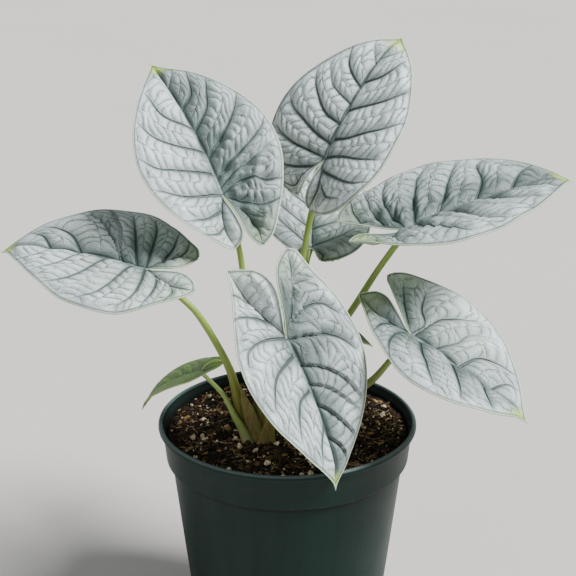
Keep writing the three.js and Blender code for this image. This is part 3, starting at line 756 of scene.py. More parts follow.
for finish, name, dark, light, pick, roughness, bump in (
    ("mix", "potting_soil", (0.006, 0.004, 0.0025), (0.022, 0.013, 0.007), 400, 0.95, 0.001),
    ("crumb", "soil_crumbs", (0.005, 0.0033, 0.002), (0.064, 0.034, 0.014), 300, 0.95, 0.0006),
    ("bark", "bark_chips", (0.04, 0.018, 0.007), (0.4, 0.24, 0.09), 200, 0.85, 0.0005),
    ("fibre", "coir_fibres", (0.22, 0.13, 0.055), (0.68, 0.5, 0.27), 220, 0.85, 0.0002),
    ("perlite", "perlite_grains", (0.6, 0.44, 0.28), (0.9, 0.79, 0.6), 260, 0.85, 0.0004),
):
    FINISHES[finish] = crumb_material(name, dark, light, pick, roughness, bump)


# Pieces

def add_object(name, mesh):
    piece = bpy.data.objects.new(name, mesh)
    bpy.context.scene.collection.objects.link(piece)
    return piece


def to_piece(bm, name, *finishes):
    mesh = bpy.data.meshes.new(name)
    bm.to_mesh(mesh)
    bm.free()
    for finish in finishes:
        mesh.materials.append(FINISHES[finish])
    mesh.shade_smooth()
    return add_object(name, mesh)


def place_piece(piece, slot, *nodes):
    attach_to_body(piece, "root")
    if nodes:
        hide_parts(*nodes)


def attach(mesh, **layers):
    for name, values in layers.items():
        made = mesh.attributes.new(name, "FLOAT", "POINT")
        made.data.foreach_set("value", np.asarray(values, dtype=np.float32))


def get_places(mesh):
    places = np.empty(3 * len(mesh.vertices), dtype=np.float32)
    mesh.vertices.foreach_get("co", places)
    return places.reshape(-1, 3).astype(float)


def set_places(mesh, places):
    mesh.vertices.foreach_set("co", np.asarray(places, dtype=np.float32).ravel())
    mesh.update()


# The leaf's shape in millimetres, by the CAD's formulas, but with swollen lobe ends

def leaf_axes(leaf):
    heading, rise, roll = (math.radians(leaf[key]) for key in ("heading", "rise", "roll"))
    fore = np.array([
        math.cos(rise) * math.cos(heading), math.cos(rise) * math.sin(heading), math.sin(rise),
    ])
    level_right = np.array([math.sin(heading), -math.cos(heading), 0.0])
    level_up = np.cross(level_right, fore)
    right = level_right * math.cos(roll) + level_up * math.sin(roll)
    up = level_up * math.cos(roll) - level_right * math.sin(roll)
    return right, fore, up


def lip_angle(leaf):
    return math.radians(leaf.get("lip", LIP_ANGLE))


def smooth01(value, low, high):
    t = np.clip((value - low) / (high - low), 0, 1)
    return t * t * (3 - 2 * t)


def outer_edge(leaf, half, fore):
    lobe = leaf["lobes"][half]
    s = np.clip((fore + lobe) / (leaf["length"] + lobe), 0, 1)
    a, b = leaf["rounds"][half], leaf["tapers"][half]
    widest = a / (a + b)
    swell = s**a * (1 - s) ** b / (widest**a * (1 - widest) ** b)
    tip = 1 - np.exp(-(1 - s) / DRIP_TIP)
    q = np.clip(-fore / lobe, 0, 1)
    puff = leaf["puffs"][half] * LOBE_PUFF * q**6 * np.sqrt(1 - q)
    return leaf["splays"][half] * (1 - s) ** 2 + leaf["widths"][half] * swell * tip + puff


def inner_edge(leaf, half, fore):
    """The edge along the sinus. The lip stands up, so the lobes may lean in until they almost meet."""
    q = np.clip(-fore / leaf["lobes"][half], 0, 1)
    sinus = leaf["splays"][half] * q ** leaf["sinus"]
    bulge = leaf["bulges"][half] * LEAN * LOBE_SWELL * q**2 * np.sqrt(1 - q) * (1 - 0.65 * q**6)
    rib = rib_line(leaf, half, fore)
    least = NARROWEST * np.minimum(1, q / LOBE_ROOT)
    meeting = rib - (rib - least) / math.cos(lip_angle(leaf))
    late = np.clip((q - leaf["corner"]) / (1 - leaf["corner"]), 0, 1)
    corner = meeting + (leaf["splays"][half] - meeting) * (1 - np.sqrt(1 - late**2))
    return np.where(fore < 0, np.maximum(sinus - bulge, corner), 0)


def rib_line(leaf, half, fore):
    q = np.clip(-fore / leaf["lobes"][half], 0, 1)
    return leaf["splays"][half] * q + RIB_BOW * np.sin(np.pi * q)


def midrib_curve(leaf, fore):
    """Where each point of the midline is, and how it slopes: (along, up, angle)."""
    reach = np.concatenate([
        np.linspace(-max(leaf["lobes"]), 0, 120, endpoint=False), np.linspace(0, leaf["length"], 300),
    ])
    t = np.clip(reach / leaf["length"], 0, 1)
    late = smooth01(t, HOOK_START, 1)
    angle = np.where(
        reach < 0,
        math.radians(leaf["lobe_lift"]) * -reach / LOBE_BEND_LENGTH,
        -math.radians(leaf["droop"]) * t - math.radians(leaf["hook"]) * late,
    )
    between = (angle[1:] + angle[:-1]) / 2
    step = np.diff(reach)
    along = np.concatenate([[0], np.cumsum(np.cos(between) * step)])
    up = np.concatenate([[0], np.cumsum(np.sin(between) * step)])
    along -= np.interp(0, reach, along)
    up -= np.interp(0, reach, up)
    return [np.interp(fore, reach, values) for values in (along, up, angle)]


def blade_points(leaf, half, across, fore, relief):
    """Points of the blade's upper face, raised by relief. half is -1 or 1 for each point."""
    pick = (half > 0).astype(int)
    fold = np.radians(np.array(leaf["folds"]))[pick]
    bow = np.array(leaf["bows"])[pick] / 1000
    lip = lip_angle(leaf)
    rib = np.where(pick == 0, rib_line(leaf, 0, fore), rib_line(leaf, 1, fore))
    outside = np.maximum(across - rib, 0)
    inside = np.maximum(rib - across, 0)
    sideways = rib + (np.sin(fold) - np.sin(fold - bow * outside)) / bow - inside * math.cos(lip)
    height = (np.cos(fold - bow * outside) - np.cos(fold)) / bow + inside * math.sin(lip) + relief
    t = np.clip(fore / leaf["length"], 0, 1)
    x = half * sideways + leaf["sway"] * 4 * t * (1 - t)
    twist = math.radians(leaf["twist"]) * fore / leaf["length"]
    to_right = x * np.cos(twist) + height * np.sin(twist)
    lift = height * np.cos(twist) - x * np.sin(twist)
    along, up, angle = midrib_curve(leaf, fore)
    right_axis, fore_axis, up_axis = leaf_axes(leaf)
    return (
        np.array(leaf["at"])
        + to_right[:, None] * right_axis
        + (along - lift * np.sin(angle))[:, None] * fore_axis
        + (up + lift * np.cos(angle))[:, None] * up_axis
    )


# Veins

def smooth_path(points, steps=9):
    """A smooth line through the points."""
    points = np.array(points, dtype=float)
    ends = np.vstack([2 * points[0] - points[1], points, 2 * points[-1] - points[-2]])
    path = []
    for before, start, end, after in zip(ends, ends[1:], ends[2:], ends[3:]):
        for t in np.arange(steps) / steps:
            path.append(0.5 * (
                2 * start + (end - before) * t
                + (2 * before - 5 * start + 4 * end - after) * t**2
                + (3 * start - before - 3 * end + after) * t**3
            ))
    return np.vstack([path, points[-1]])


def plain_veins(leaf, half):
    """Evenly set veins, where the photograph shows none clearly."""
    length = leaf["length"]
    veins = []
    for part in (0.005, 0.14, 0.3, 0.48, 0.66):
        root = part * length
        bend, end = root + 0.1 * length, min(root + 0.24 * length, 0.93 * length)
        veins.append((root, 0.6 - 0.2 * part, (
            (0.5 * float(outer_edge(leaf, half, bend)), bend),
            (0.9 * float(outer_edge(leaf, half, end)), end),
        )))
    return veins


def lobe_veins(leaf, half):
    """Two veins behind the stalk, for a leaf whose own list has none there."""
    lobe = leaf["lobes"][half]
    veins = []
    for part in (0.28, 0.6):
        root = -part * lobe
        start = float(rib_line(leaf, half, root))
        middle, end = root - 0.08 * lobe, root - 0.04 * lobe
        veins.append((root, 0.9, (
            (start + 0.45 * (float(outer_edge(leaf, half, middle)) - start), middle),
            (start + 0.9 * (float(outer_edge(leaf, half, end)) - start), end),
        )))
    return veins


def vein_paths(leaf, half):
    """The main veins of one half from the lobe's end forward: (path, seen length, strength)."""
    lobe = leaf["lobes"][half]
    q = np.linspace(0, 0.86, 18)
    rib = np.column_stack([rib_line(leaf, half, -q * lobe), -q * lobe])
    given = list(leaf["veins"][half]) if leaf["veins"] else plain_veins(leaf, half)
    if lobe > 10 and min(root for root, _, _ in given) >= 0:
        given += lobe_veins(leaf, half)
    paths = [(rib, 1.0)]
    for root, strength, points in sorted(given):
        start = (float(rib_line(leaf, half, root)) if root < 0 else 0.0, root)
        paths.append((smooth_path([start, *points]), strength))
    veins = []
    for path, strength in paths:
        seen = np.hypot(*np.diff(path, axis=0).T).sum() + 5
        onward = path[-1] - path[-2]
        far = path[-1] + onward * 30 / np.hypot(*onward)
        veins.append((np.vstack([path, far]), seen, strength))
    return veins


def measure(path, spots):
    """Distance to the path, place along it, and whether the spot lies on its fore side."""
    steps = np.diff(path, axis=0)
    lengths = np.hypot(*steps.T)
    starts = np.concatenate([[0], np.cumsum(lengths)])[:-1]
    offset = spots[:, None, :] - path[None, :-1, :]
    share = np.clip((offset * steps).sum(2) / lengths**2, 0, 1)
    gap = offset - share[..., None] * steps
    distance = np.hypot(gap[..., 0], gap[..., 1])
    best = distance.argmin(1)
    rows = np.arange(len(spots))
    turn = steps[best, 0] * offset[rows, best, 1] - steps[best, 1] * offset[rows, best, 0]
    return distance[rows, best], starts[best] + share[rows, best] * lengths[best], turn > 0


def ripple(spots, wavelength, rng, waves=7):
    """Smooth random waves, about -1 to 1."""
    total = np.zeros(len(spots))
    for _ in range(waves):
        turn = rng.uniform(0, 2 * math.pi)
        way = np.array([math.cos(turn), math.sin(turn)]) * 2 * math.pi / wavelength
        total += np.sin(spots @ way * rng.uniform(0.7, 1.4) + rng.uniform(0, 2 * math.pi))
    return total / math.sqrt(waves)


def cell_borders(spots, spacing, rng):
    """Distance to the border of irregular cells, as a net of fine veins makes."""
    low, high = spots.min(0) - spacing, spots.max(0) + spacing
    columns, rows = np.ceil((high - low) / spacing).astype(int)
    grid = np.stack(np.meshgrid(np.arange(columns), np.arange(rows)), axis=-1).reshape(-1, 2)
    seeds = low + (grid + 0.5 + rng.uniform(-0.42, 0.42, grid.shape)) * spacing
    nearest = np.full(len(spots), np.inf)
    second = nearest.copy()
    for seed in seeds:
        distance = np.hypot(*(spots - seed).T)
        second = np.minimum(second, np.maximum(distance, nearest))
        nearest = np.minimum(nearest, distance)
    return (second - nearest) / 2


def half_fields(leaf, half, spots, rng):
    """Each point's place among the main veins of its half.

    strip: which space between two veins it is in, and how near to one. breadth: how wide that space is.
    middle: how far it is from the space's middle. girth: how thick the nearest vein is. rung: how far out
    it is, counted in cross veins. share: where it is between the two veins. gap: how far the nearest is.
    """
    veins = vein_paths(leaf, half)
    measured = [measure(path, spots) for path, _, _ in veins]
    distance = np.array([values[0] for values in measured])
    arc = np.array([values[1] for values in measured])
    passed = np.array([values[2] for values in measured])
    passed[1:] &= passed[0]
    count = len(veins)
    below = passed.sum(0)
    rows = np.arange(len(spots))
    low, high = np.clip(below - 1, 0, count - 1), np.clip(below, 0, count - 1)
    d_low = np.where(below == 0, 7.0, distance[low, rows])
    d_high = np.where(below == count, 13.0, distance[high, rows])
    share = d_low / np.maximum(d_low + d_high, 1e-6)
    near = np.where(share < 0.5, low, high)
    near = np.where(below == 0, 0, np.where(below == count, count - 1, near))
    seen = np.array([length for _, length, _ in veins])[near]
    strength = np.array([power for _, _, power in veins])[near]
    left = np.clip(1 - arc[near, rows] / seen, 0, 1)
    girth = strength * (0.1 + 0.34 * left) * np.clip(left * 7, 0, 1)
    reach = (1 - share) * arc[low, rows] + share * arc[high, rows]
    shift = rng.uniform(0, 1, count + 1)[below] + 0.5 * (share > 0.5)
    arched = reach + RUNG_ARC * 4 * share * (1 - share)
    rung = (2 * reach - arched) / RUNG_SPACING + shift + 0.24 * ripple(spots, 16, rng)
    warped = spots + 1.4 * np.column_stack([ripple(spots, 13, rng), ripple(spots, 13, rng)])
    from_low = np.where(below == 0, 0, np.exp(-distance[low, rows] / VEIN_REACH))
    from_high = np.where(below == count, 0, np.exp(-distance[high, rows] / VEIN_REACH))
    strip = below + 0.5 * (1 - from_low + from_high)
    return dict(
        strip=strip, breadth=d_low + d_high, middle=(d_low - d_high) / 2, girth=girth, rung=rung,
        share=share, gap=np.minimum(d_low, d_high), cell=cell_borders(warped, CELL_SIZE, rng),
        small_cell=cell_borders(warped, SMALL_CELL_SIZE, rng),
    )


def edge_distance(leaf, half, spots):
    fore = np.linspace(-leaf["lobes"][half], leaf["length"], 420)
    outline = np.column_stack([outer_edge(leaf, half, fore), fore])
    back = fore[fore < 0]
    inside = np.column_stack([inner_edge(leaf, half, back), back])
    gaps = [np.hypot(*(spots - point).T) for point in np.vstack([outline, inside])]
    return np.min(gaps, axis=0)


def blade_grid(leaf, columns, lobe_rows, fore_rows):
    """Two flat grids side by side, one for each half, with the left one turned over."""
    bm = bmesh.new()
    for half in (LEFT, RIGHT):
        bmesh.ops.create_grid(
            bm, x_segments=columns, y_segments=lobe_rows + fore_rows, size=0.5,
            matrix=Matrix.Translation((2 * half + 0.5, 0.5, 0)),
        )
    left_faces = [face for face in bm.faces if face.calc_center_median().x < 1.5]
    bmesh.ops.reverse_faces(bm, faces=left_faces)
    mesh = bpy.data.meshes.new("blade_" + leaf["name"])
    bm.to_mesh(mesh)
    bm.free()
    return mesh


def blade_fields(leaf, number, grid, lobe_rows, fore_rows):
    """Where each point of the grids comes to lie on the leaf, and its place among the veins."""
    on_right = grid[:, 0] > 1.5
    u = grid[:, 0] - 2 * on_right
    row = np.round(grid[:, 1] * (lobe_rows + fore_rows))
    lobes = np.where(on_right, leaf["lobes"][1], leaf["lobes"][0])
    r = (row - lobe_rows) / fore_rows
    onward = 0.6 * r + 0.4 * np.sin(np.pi / 2 * np.clip(r, 0, 1))
    fore = np.where(
        row < lobe_rows, -lobes * np.cos(np.pi / 2 * row / lobe_rows), leaf["length"] * onward
    )
    fields = {}
    rng = np.random.default_rng(100 + number)
    for half in (LEFT, RIGHT):
        mine = on_right == (half == RIGHT)
        inner = inner_edge(leaf, half, fore[mine])
        outer = np.maximum(outer_edge(leaf, half, fore[mine]), inner)
        across = inner + (outer - inner) * u[mine]
        spots = np.column_stack([across, fore[mine]])
        made = half_fields(leaf, half, spots, rng)
        made["across"] = across
        made["edge"] = edge_distance(leaf, half, spots)
        for name in ("dark", "green", "fresh", "crumple"):
            made[name] = np.full(len(spots), leaf[name][half])
        for name, wavelength in (("ripple", 34), ("blot", 30), ("folds", 12)):
            made[name] = ripple(spots, wavelength, rng)
        for name, values in made.items():
            fields.setdefault(name, np.empty(len(grid)))[mine] = values
    return SimpleNamespace(
        side=np.where(on_right, 1.0, -1.0), fore=fore, t=np.clip(fore / leaf["length"], 0, 1),
        on_fore=smooth01(fore, -2, 4), on_lobe=-fore / lobes, radius=np.hypot(fields["across"], fore),
        **fields,
    )


def blade_relief(f):
    """How far the upper face rises from the leaf's plain shape, in millimetres."""
    inland = smooth01(f.edge, 0.5, 7)
    off_rib = smooth01(f.across, 1.5, 7)
    clear = 1 - np.exp(-((f.gap / 2.4) ** 2))
    halfway = np.exp(-((f.middle / 1.3) ** 2))
    crumple = 1 + (f.crumple - 1) * np.exp(-(((f.radius - 16) / 26) ** 2))
    crown = np.minimum(CROWN_SHARE * f.breadth, CROWN_HEIGHT) * (4 * f.share * (1 - f.share)) ** 0.85
    rungs = (np.abs(np.sin(np.pi * f.rung)) ** 0.7 - 0.6) * (1 - 0.85 * halfway) * clear
    puffs = clear * (1 - np.exp(-f.cell / 0.9))
    halved = halfway * np.clip(f.breadth / 6 - 1, 0, 1)
    groove = np.exp(-((f.gap / 1.7) ** 2)) * np.minimum(f.girth / 0.3, 1)
    relief = inland * smooth01(f.across, 0, 2) * (
        crown
        + RUNG_HEIGHT * crumple**0.7 * off_rib * rungs * np.clip(f.breadth / 8, 0, 1.3)
        + (0.2 + 0.3 * (crumple - 1)) * off_rib * puffs
        + 0.8 * (crumple - 1) * off_rib * f.folds
        - 0.3 * off_rib * halved
        - VEIN_GROOVE * groove
    )
    relief -= MIDRIB_GROOVE * f.on_fore * (1 - 0.6 * f.t) * np.exp(-((f.across / 2.6) ** 2))
    relief += MIDRIB_RIDGE * f.on_fore * (1 - f.t) * np.exp(-((f.across / 0.9) ** 2))
    relief += 0.6 * f.ripple * np.exp(-f.edge / 9) * smooth01(f.across, 1, 8)
    return relief - 0.5 * np.exp(-f.edge / 1.2) * smooth01(f.across, 1, 4)


def attach_tones(mesh, f, spine):
    """The layers that a blade's materials read. spine: half the midrib's width at the stalk."""
    # Painted shade: shade darkens each half by its dark value, most along the midrib's hollow and round the
    # stalk's join.
    midrib_valley_shade = np.exp(-f.across / 6.5) * (1 - f.t) ** 0.7 * f.on_fore
    shade = f.dark * (0.2 + 0.55 * np.exp(-f.across / 16)) * (0.85 + 0.2 * f.blot)
    shade += (0.42 + 0.3 * f.dark) * midrib_valley_shade + (0.3 + 0.25 * f.dark) * np.exp(-f.radius / 20)
    green = f.green * (0.3 + 0.7 * np.exp(-(((f.radius - 10) / 30) ** 2))) * (0.8 + 0.3 * f.blot)
    fresh = 0.95 * smooth01(f.t, 0.85, 0.96) + f.fresh * smooth01(f.on_lobe, 0.35, 1.0)
    attach(
        mesh, strip=f.strip, breadth=f.breadth, middle=f.middle, girth=f.girth, rung=f.rung,
        small_cell=f.small_cell, edge=f.edge, across=f.across * f.side,
        spine=np.where(f.fore >= 0, 0.25 + spine * (1 - f.t) ** 0.9, 0),
        shade=np.clip(shade, 0, 0.86),
        # depth: how dark the band beside the main veins is; it carries painted shade, more where a half is
        # darker and near the stalk.
        depth=np.clip(0.3 + 0.5 * np.exp(-f.radius / 30) + 0.25 * f.dark, 0, 0.9),
        green=np.clip(green + 0.1 * np.exp(-f.edge / 2.5), 0, 0.9),
        fresh=np.clip(fresh, 0, 0.95),
    )


def blade_thickness(f, ridge):
    """The blade's thickness at each point. ridge: how strong the rib under the midline is."""
    web = BLADE_THICKNESS + 0.3 * np.exp(-f.gap / 0.8) * f.girth
    under = np.exp(-((f.across / 2.2) ** 2)) * (1 - f.t) * f.on_fore
    thick = np.minimum(web, MARGIN_THICKNESS + 0.22 * f.edge)
    return thick + (BLADE_DEEPEST - BLADE_THICKNESS) * under * ridge


def blade(leaf, number):
    """A blade: two grids laid by the leaf's formulas and joined on the midrib, with a thin shell."""
    young = leaf["name"].startswith("young")
    columns, lobe_rows, fore_rows = YOUNG_GRID if young else BLADE_GRID
    if leaf["lobes"][0] < 10:
        lobe_rows //= 2
    mesh = blade_grid(leaf, columns, lobe_rows, fore_rows)
    fields = blade_fields(leaf, number, get_places(mesh), lobe_rows, fore_rows)
    relief = blade_relief(fields) * (YOUNG_RELIEF if young else 1)
    set_places(mesh, blade_points(leaf, fields.side, fields.across, fields.fore, relief) * MM)
    attach_tones(mesh, fields, 0.65 if young else 1.05)
    thickness = blade_thickness(fields, 0.5 if young else 1)

    bm = bmesh.new()
    bm.from_mesh(mesh)
    deform = bm.verts.layers.deform.verify()
    for vertex, weight in zip(bm.verts, np.clip(thickness / BLADE_DEEPEST, 0.1, 1)):
        vertex[deform][0] = float(weight)
    bmesh.ops.remove_doubles(bm, verts=bm.verts, dist=2e-6)
    bm.to_mesh(mesh)
    bm.free()
    kind = "young" if young else "silver"
    for finish in (kind, kind + "_back", kind + "_rim"):
        mesh.materials.append(FINISHES[finish])
    mesh.shade_smooth()
    piece = add_object("leaf_" + leaf["name"], mesh)
    piece.vertex_groups.new(name="thickness")
    shell = piece.modifiers.new("blade thickness", "SOLIDIFY")
    shell.thickness = BLADE_DEEPEST * MM
    shell.offset = -1
    shell.vertex_group = "thickness"
    shell.thickness_vertex_group = 0.1
    shell.material_offset = 1
    shell.material_offset_rim = 2
    place_piece(piece, kind + "_blade", "blade_" + leaf["name"])


# Stalks

def stalk_path(leaf):
    """Evenly spaced points from the foot to the blade, with the CAD's route."""
    join = np.array(leaf["at"], dtype=float)
    up = leaf_axes(leaf)[2]
    points = [(*leaf["foot"], STALK_FOOT_Z), *leaf["route"], tuple(join - STALK_JOIN_DEPTH * up)]
    path = smooth_path(points, 24)
    arc = np.concatenate([[0], np.cumsum(np.linalg.norm(np.diff(path, axis=0), axis=1))])
    even = np.linspace(0, arc[-1], STALK_RINGS + 1)
    return np.column_stack([np.interp(even, arc, path[:, k]) for k in range(3)]), even


def way_along(path, k):
    return Vector(path[min(k + 1, len(path) - 1)] - path[max(k - 1, 0)]).normalized()


def tube(path, radius_at, sides):
    """A closed tube along the path. radius_at(ring, angle) gives its radius."""
    bm = bmesh.new()
    rings = [bmesh.ops.create_circle(bm, cap_ends=True, segments=sides, radius=1)["verts"]]
    edges = list(bm.edges)
    for _ in path[1:]:
        made = bmesh.ops.extrude_edge_only(bm, edges=edges)["geom"]
        rings.append([item for item in made if isinstance(item, bmesh.types.BMVert)])
        edges = [
            item for item in made
            if isinstance(item, bmesh.types.BMEdge) and all(v in rings[-1] for v in item.verts)
        ]
    across = way_along(path, 0).orthogonal().normalized()
    for k, ring in enumerate(rings):
        way = way_along(path, k)
        if k:
            across = way_along(path, k - 1).rotation_difference(way) @ across
        side = way.cross(across)
        for vertex in ring:
            turn = math.atan2(vertex.co.y, vertex.co.x)
            out = across * math.cos(turn) + side * math.sin(turn)
            vertex.co = (Vector(path[k]) + out * radius_at(k, turn)) * MM
    bmesh.ops.contextual_create(bm, geom=edges)
    bmesh.ops.recalc_face_normals(bm, faces=bm.faces)
    return bm


def stalk(leaf, number):
    """A stalk with a swollen foot, faint ridges and a wider end under the blade."""
    path, even = stalk_path(leaf)
    wide, slim = leaf["radii"]
    phase = random.Random(number).uniform(0, 6)
    young = leaf["name"].startswith("young")
    reach = YOUNG_SWELL_REACH if young else FOOT_SWELL_REACH

    def radius_at(k, turn):
        t = even[k] / even[-1]
        radius = slim + (wide - slim) * (1 - t) ** FOOT_FLARE
        radius += FOOT_SWELL * wide / FOOT_RADIUS * math.exp(-max(path[k][2] - STALK_FOOT_Z, 0) / reach)
        radius *= 1 + 0.2 * max(0, (t - 0.94) / 0.06) ** 2
        ridge = 0.022 * math.sin(9 * turn + phase) + 0.05 * math.cos(2 * turn + phase)
        return radius * (1 + ridge + 0.03 * math.sin(even[k] / 7 + phase))

    piece = to_piece(tube(path, radius_at, STALK_SIDES), "stalk_" + leaf["name"], "stalk")
    places = get_places(piece.data) / MM
    nearest = np.linalg.norm(places[:, None, :] - path[None], axis=2).argmin(1)
    offset = places - path[nearest]
    pale_foot, pale_top = PALE_SHEATH_Z
    attach(
        piece.data, along=even[nearest] / even[-1], rise=places[:, 2] - STALK_FOOT_Z,
        turn=np.abs(np.arctan2(offset[:, 1], offset[:, 0])) / math.pi,
        number=np.full(len(places), float(number)), young=np.full(len(places), float(young)),
        pale=0.75 * young * smooth01(-places[:, 2], -pale_top, -pale_foot),
    )
    place_piece(piece, "stalk", "petiole_" + leaf["name"])


def papery_scale(scale):
    """A thin pointed scale, curved round the stalks."""
    path = smooth_path(scale["route"], 20)
    bm = bmesh.new()
    bmesh.ops.create_grid(bm, x_segments=SCALE_COLUMNS, y_segments=len(path) - 1, size=0.5)
    back = Vector(scale["facing"]).normalized()
    for vertex in bm.verts:
        x, t = 2 * vertex.co.x, vertex.co.y + 0.5
        k = round(t * (len(path) - 1))
        tangent = way_along(path, k)
        outward = (back - tangent * back.dot(tangent)).normalized()
        sideways = tangent.cross(outward)
        width = max(scale["half_width"] * (1 - t**2), 0.15)
        cup = SCALE_BULGE * (1 - x * x) * (1 - 0.6 * t) + 0.12 * math.sin(9 * x + 7 * t)
        vertex.co = (Vector(path[k]) + sideways * x * width + outward * cup) * MM
    bmesh.ops.recalc_face_normals(bm, faces=bm.faces)
    piece = to_piece(bm, scale["name"], scale["finish"])
    shell = piece.modifiers.new("scale thickness", "SOLIDIFY")
    shell.thickness = SCALE_THICKNESS * MM
    shell.offset = 0
    place_piece(piece, scale["slot"], scale["node"])


# Pot

def spun(profile, steps):
    """A profile of (radius, height) turned round the pot's axis."""
    bm = bmesh.new()
    verts = [bm.verts.new((radius * MM, 0, z * MM)) for radius, z in profile]
    edges = [bm.edges.new(pair) for pair in zip(verts, verts[1:])]
    bmesh.ops.spin(
        bm, geom=verts + edges, cent=(0, 0, 0), axis=(0, 0, 1), angle=2 * math.pi,
        steps=steps, use_merge=True,
    )
    bmesh.ops.remove_doubles(bm, verts=bm.verts, dist=1e-6)
    bmesh.ops.recalc_face_normals(bm, faces=bm.faces)
    return bm


def drill(piece):
    """Cut the drainage holes out of the pot's base."""
    cutter = bmesh.new()
    for number in range(DRAIN_HOLES):
        turn = 2 * math.pi * (number + 0.5) / DRAIN_HOLES
        place = Vector((math.cos(turn), math.sin(turn), 0)) * DRAIN_CIRCLE_RADIUS * MM
        bmesh.ops.create_cone(
            cutter, cap_ends=True, segments=40, radius1=DRAIN_HOLE_RADIUS * MM,
            radius2=DRAIN_HOLE_RADIUS * MM, depth=12 * MM, matrix=Matrix.Translation(place),
        )
    holes = to_piece(cutter, "drain_holes", "pot")
    cut = piece.modifiers.new("drain holes", "BOOLEAN")
    cut.object = holes
    cut.operation = "DIFFERENCE"
    cut.solver = "EXACT"
    graph = bpy.context.evaluated_depsgraph_get()
    cut_mesh = bpy.data.meshes.new_from_object(piece.evaluated_get(graph))
    piece.modifiers.clear()
    piece.data = cut_mesh
    bpy.data.objects.remove(holes)


def pot():
    """The wall, collar, rim and base as one turned profile with rounded edges."""
    rim_foot = POT_HEIGHT - RIM_HEIGHT
    rim_top = POT_HEIGHT - RIM_ROUND
    profile = [
        (0, 1.0), (BASE_RADIUS - 6, 1.0), (BASE_RADIUS - 5, 0), (BASE_RADIUS - 1.5, 0),
        (BASE_RADIUS, 1.5), (BASE_RADIUS + 0.4, 5),
        (BASE_RADIUS + (SHOULDER_RADIUS - BASE_RADIUS) * MIDDLE_Z / SHOULDER_Z, MIDDLE_Z),
        (SHOULDER_RADIUS, SHOULDER_Z), (SHOULDER_RADIUS + 0.4, SHOULDER_Z + 3),
        (COLLAR_FOOT_RADIUS - 0.3, COLLAR_FOOT_Z - 0.8), (COLLAR_FOOT_RADIUS, COLLAR_FOOT_Z),
        (COLLAR_TOP_RADIUS, rim_foot - RIM_ROUND), (RIM_RADIUS, rim_foot),
        (RIM_RADIUS, rim_top - 0.3), (RIM_RADIUS - RIM_ROUND, POT_HEIGHT),
        (RIM_LIP_RADIUS + 0.4, POT_HEIGHT), (RIM_LIP_RADIUS, rim_top),
        (COLLAR_TOP_RADIUS - WALL, rim_foot - 2),
        (COLLAR_FOOT_RADIUS - WALL, COLLAR_FOOT_Z + WALL), (SHOULDER_RADIUS - WALL, SHOULDER_Z),
        (BASE_RADIUS - WALL, POT_FLOOR_Z), (0, POT_FLOOR_Z),
    ]
    bm = spun(profile, POT_STEPS)
    sharp = [
        edge for edge in bm.edges
        if len(edge.link_faces) == 2 and edge.calc_face_angle() > math.radians(14)
    ]
    bmesh.ops.bevel(
        bm, geom=sharp, offset=POT_BEVEL * MM, segments=3, profile=0.5, affect="EDGES",
        material=-1, clamp_overlap=True,
    )
    piece = to_piece(bm, "pot_body", "pot")
    drill(piece)
    place_piece(piece, "pot", "pot")


# Potting mix

def mix_height(x, y):
    """The height of the mix at a place, with its lumps."""
    radius = math.hypot(x, y) / MIX_RADIUS
    level = MIX_MIDDLE_Z + (MIX_EDGE_Z - MIX_MIDDLE_Z) * radius**2
    lumps = noise.noise(Vector((x * 0.09, y * 0.09, 3.1)))
    lumps += 0.6 * noise.noise(Vector((x, y, 0)) * 0.24)
    return level + MIX_BUMPS * lumps * (1 - 0.5 * radius**6)


def mix_body():
    """The mix that fills the pot, with its lumpy top."""
    floor = POT_FLOOR_Z + MIX_SEAT
    profile = [
        (0, floor), (BASE_RADIUS - WALL - MIX_SEAT - 0.2, floor),
        (SHOULDER_RADIUS - WALL - MIX_SEAT - 0.1, SHOULDER_Z),
        (COLLAR_FOOT_RADIUS - WALL - MIX_SEAT - 0.1, COLLAR_FOOT_Z + WALL),
        (MIX_RADIUS, MIX_EDGE_Z - 1),
    ]
    profile += [(MIX_RADIUS * (1 - k / MIX_RINGS), MIX_EDGE_Z) for k in range(MIX_RINGS)]
    profile.append((0, MIX_EDGE_Z))
    bm = spun(profile, MIX_STEPS)
    for vertex in bm.verts:
        if vertex.co.z > (MIX_EDGE_Z - 0.5) * MM:
            vertex.co.z = mix_height(vertex.co.x / MM, vertex.co.y / MM) * MM
    place_piece(to_piece(bm, "mix_body", "mix"), "potting_mix", "potting_mix")


def chunk_template(make, finish, jitter, rng):
    bm = bmesh.new()
    make(bm)
    for vertex in bm.verts:
        vertex.co *= 1 + jitter * rng.uniform(-1, 1)
    mesh = bpy.data.meshes.new("chunk_of_" + finish)
    bm.to_mesh(mesh)
    bm.free()
    mesh.materials.append(FINISHES[finish])
    return mesh


def join_chunks(name, finish, chunks):
    """One piece of many chunks."""
    base = add_object(name, bpy.data.meshes.new(name))
    base.data.materials.append(FINISHES[finish])
    with bpy.context.temp_override(
        active_object=base, selected_editable_objects=[base, *chunks], object=base,
    ):
        bpy.ops.object.join()
    place_piece(base, "potting_mix", "potting_mix")


def lie(rng, x, y, z, sizes, tilt):
    turn = Euler((rng.uniform(-tilt, tilt), rng.uniform(-tilt, tilt), rng.uniform(0, 6.28)))
    size = Matrix.Diagonal((*(part * MM for part in sizes), 1))
    return Matrix.Translation(Vector((x, y, z)) * MM) @ turn.to_matrix().to_4x4() @ size


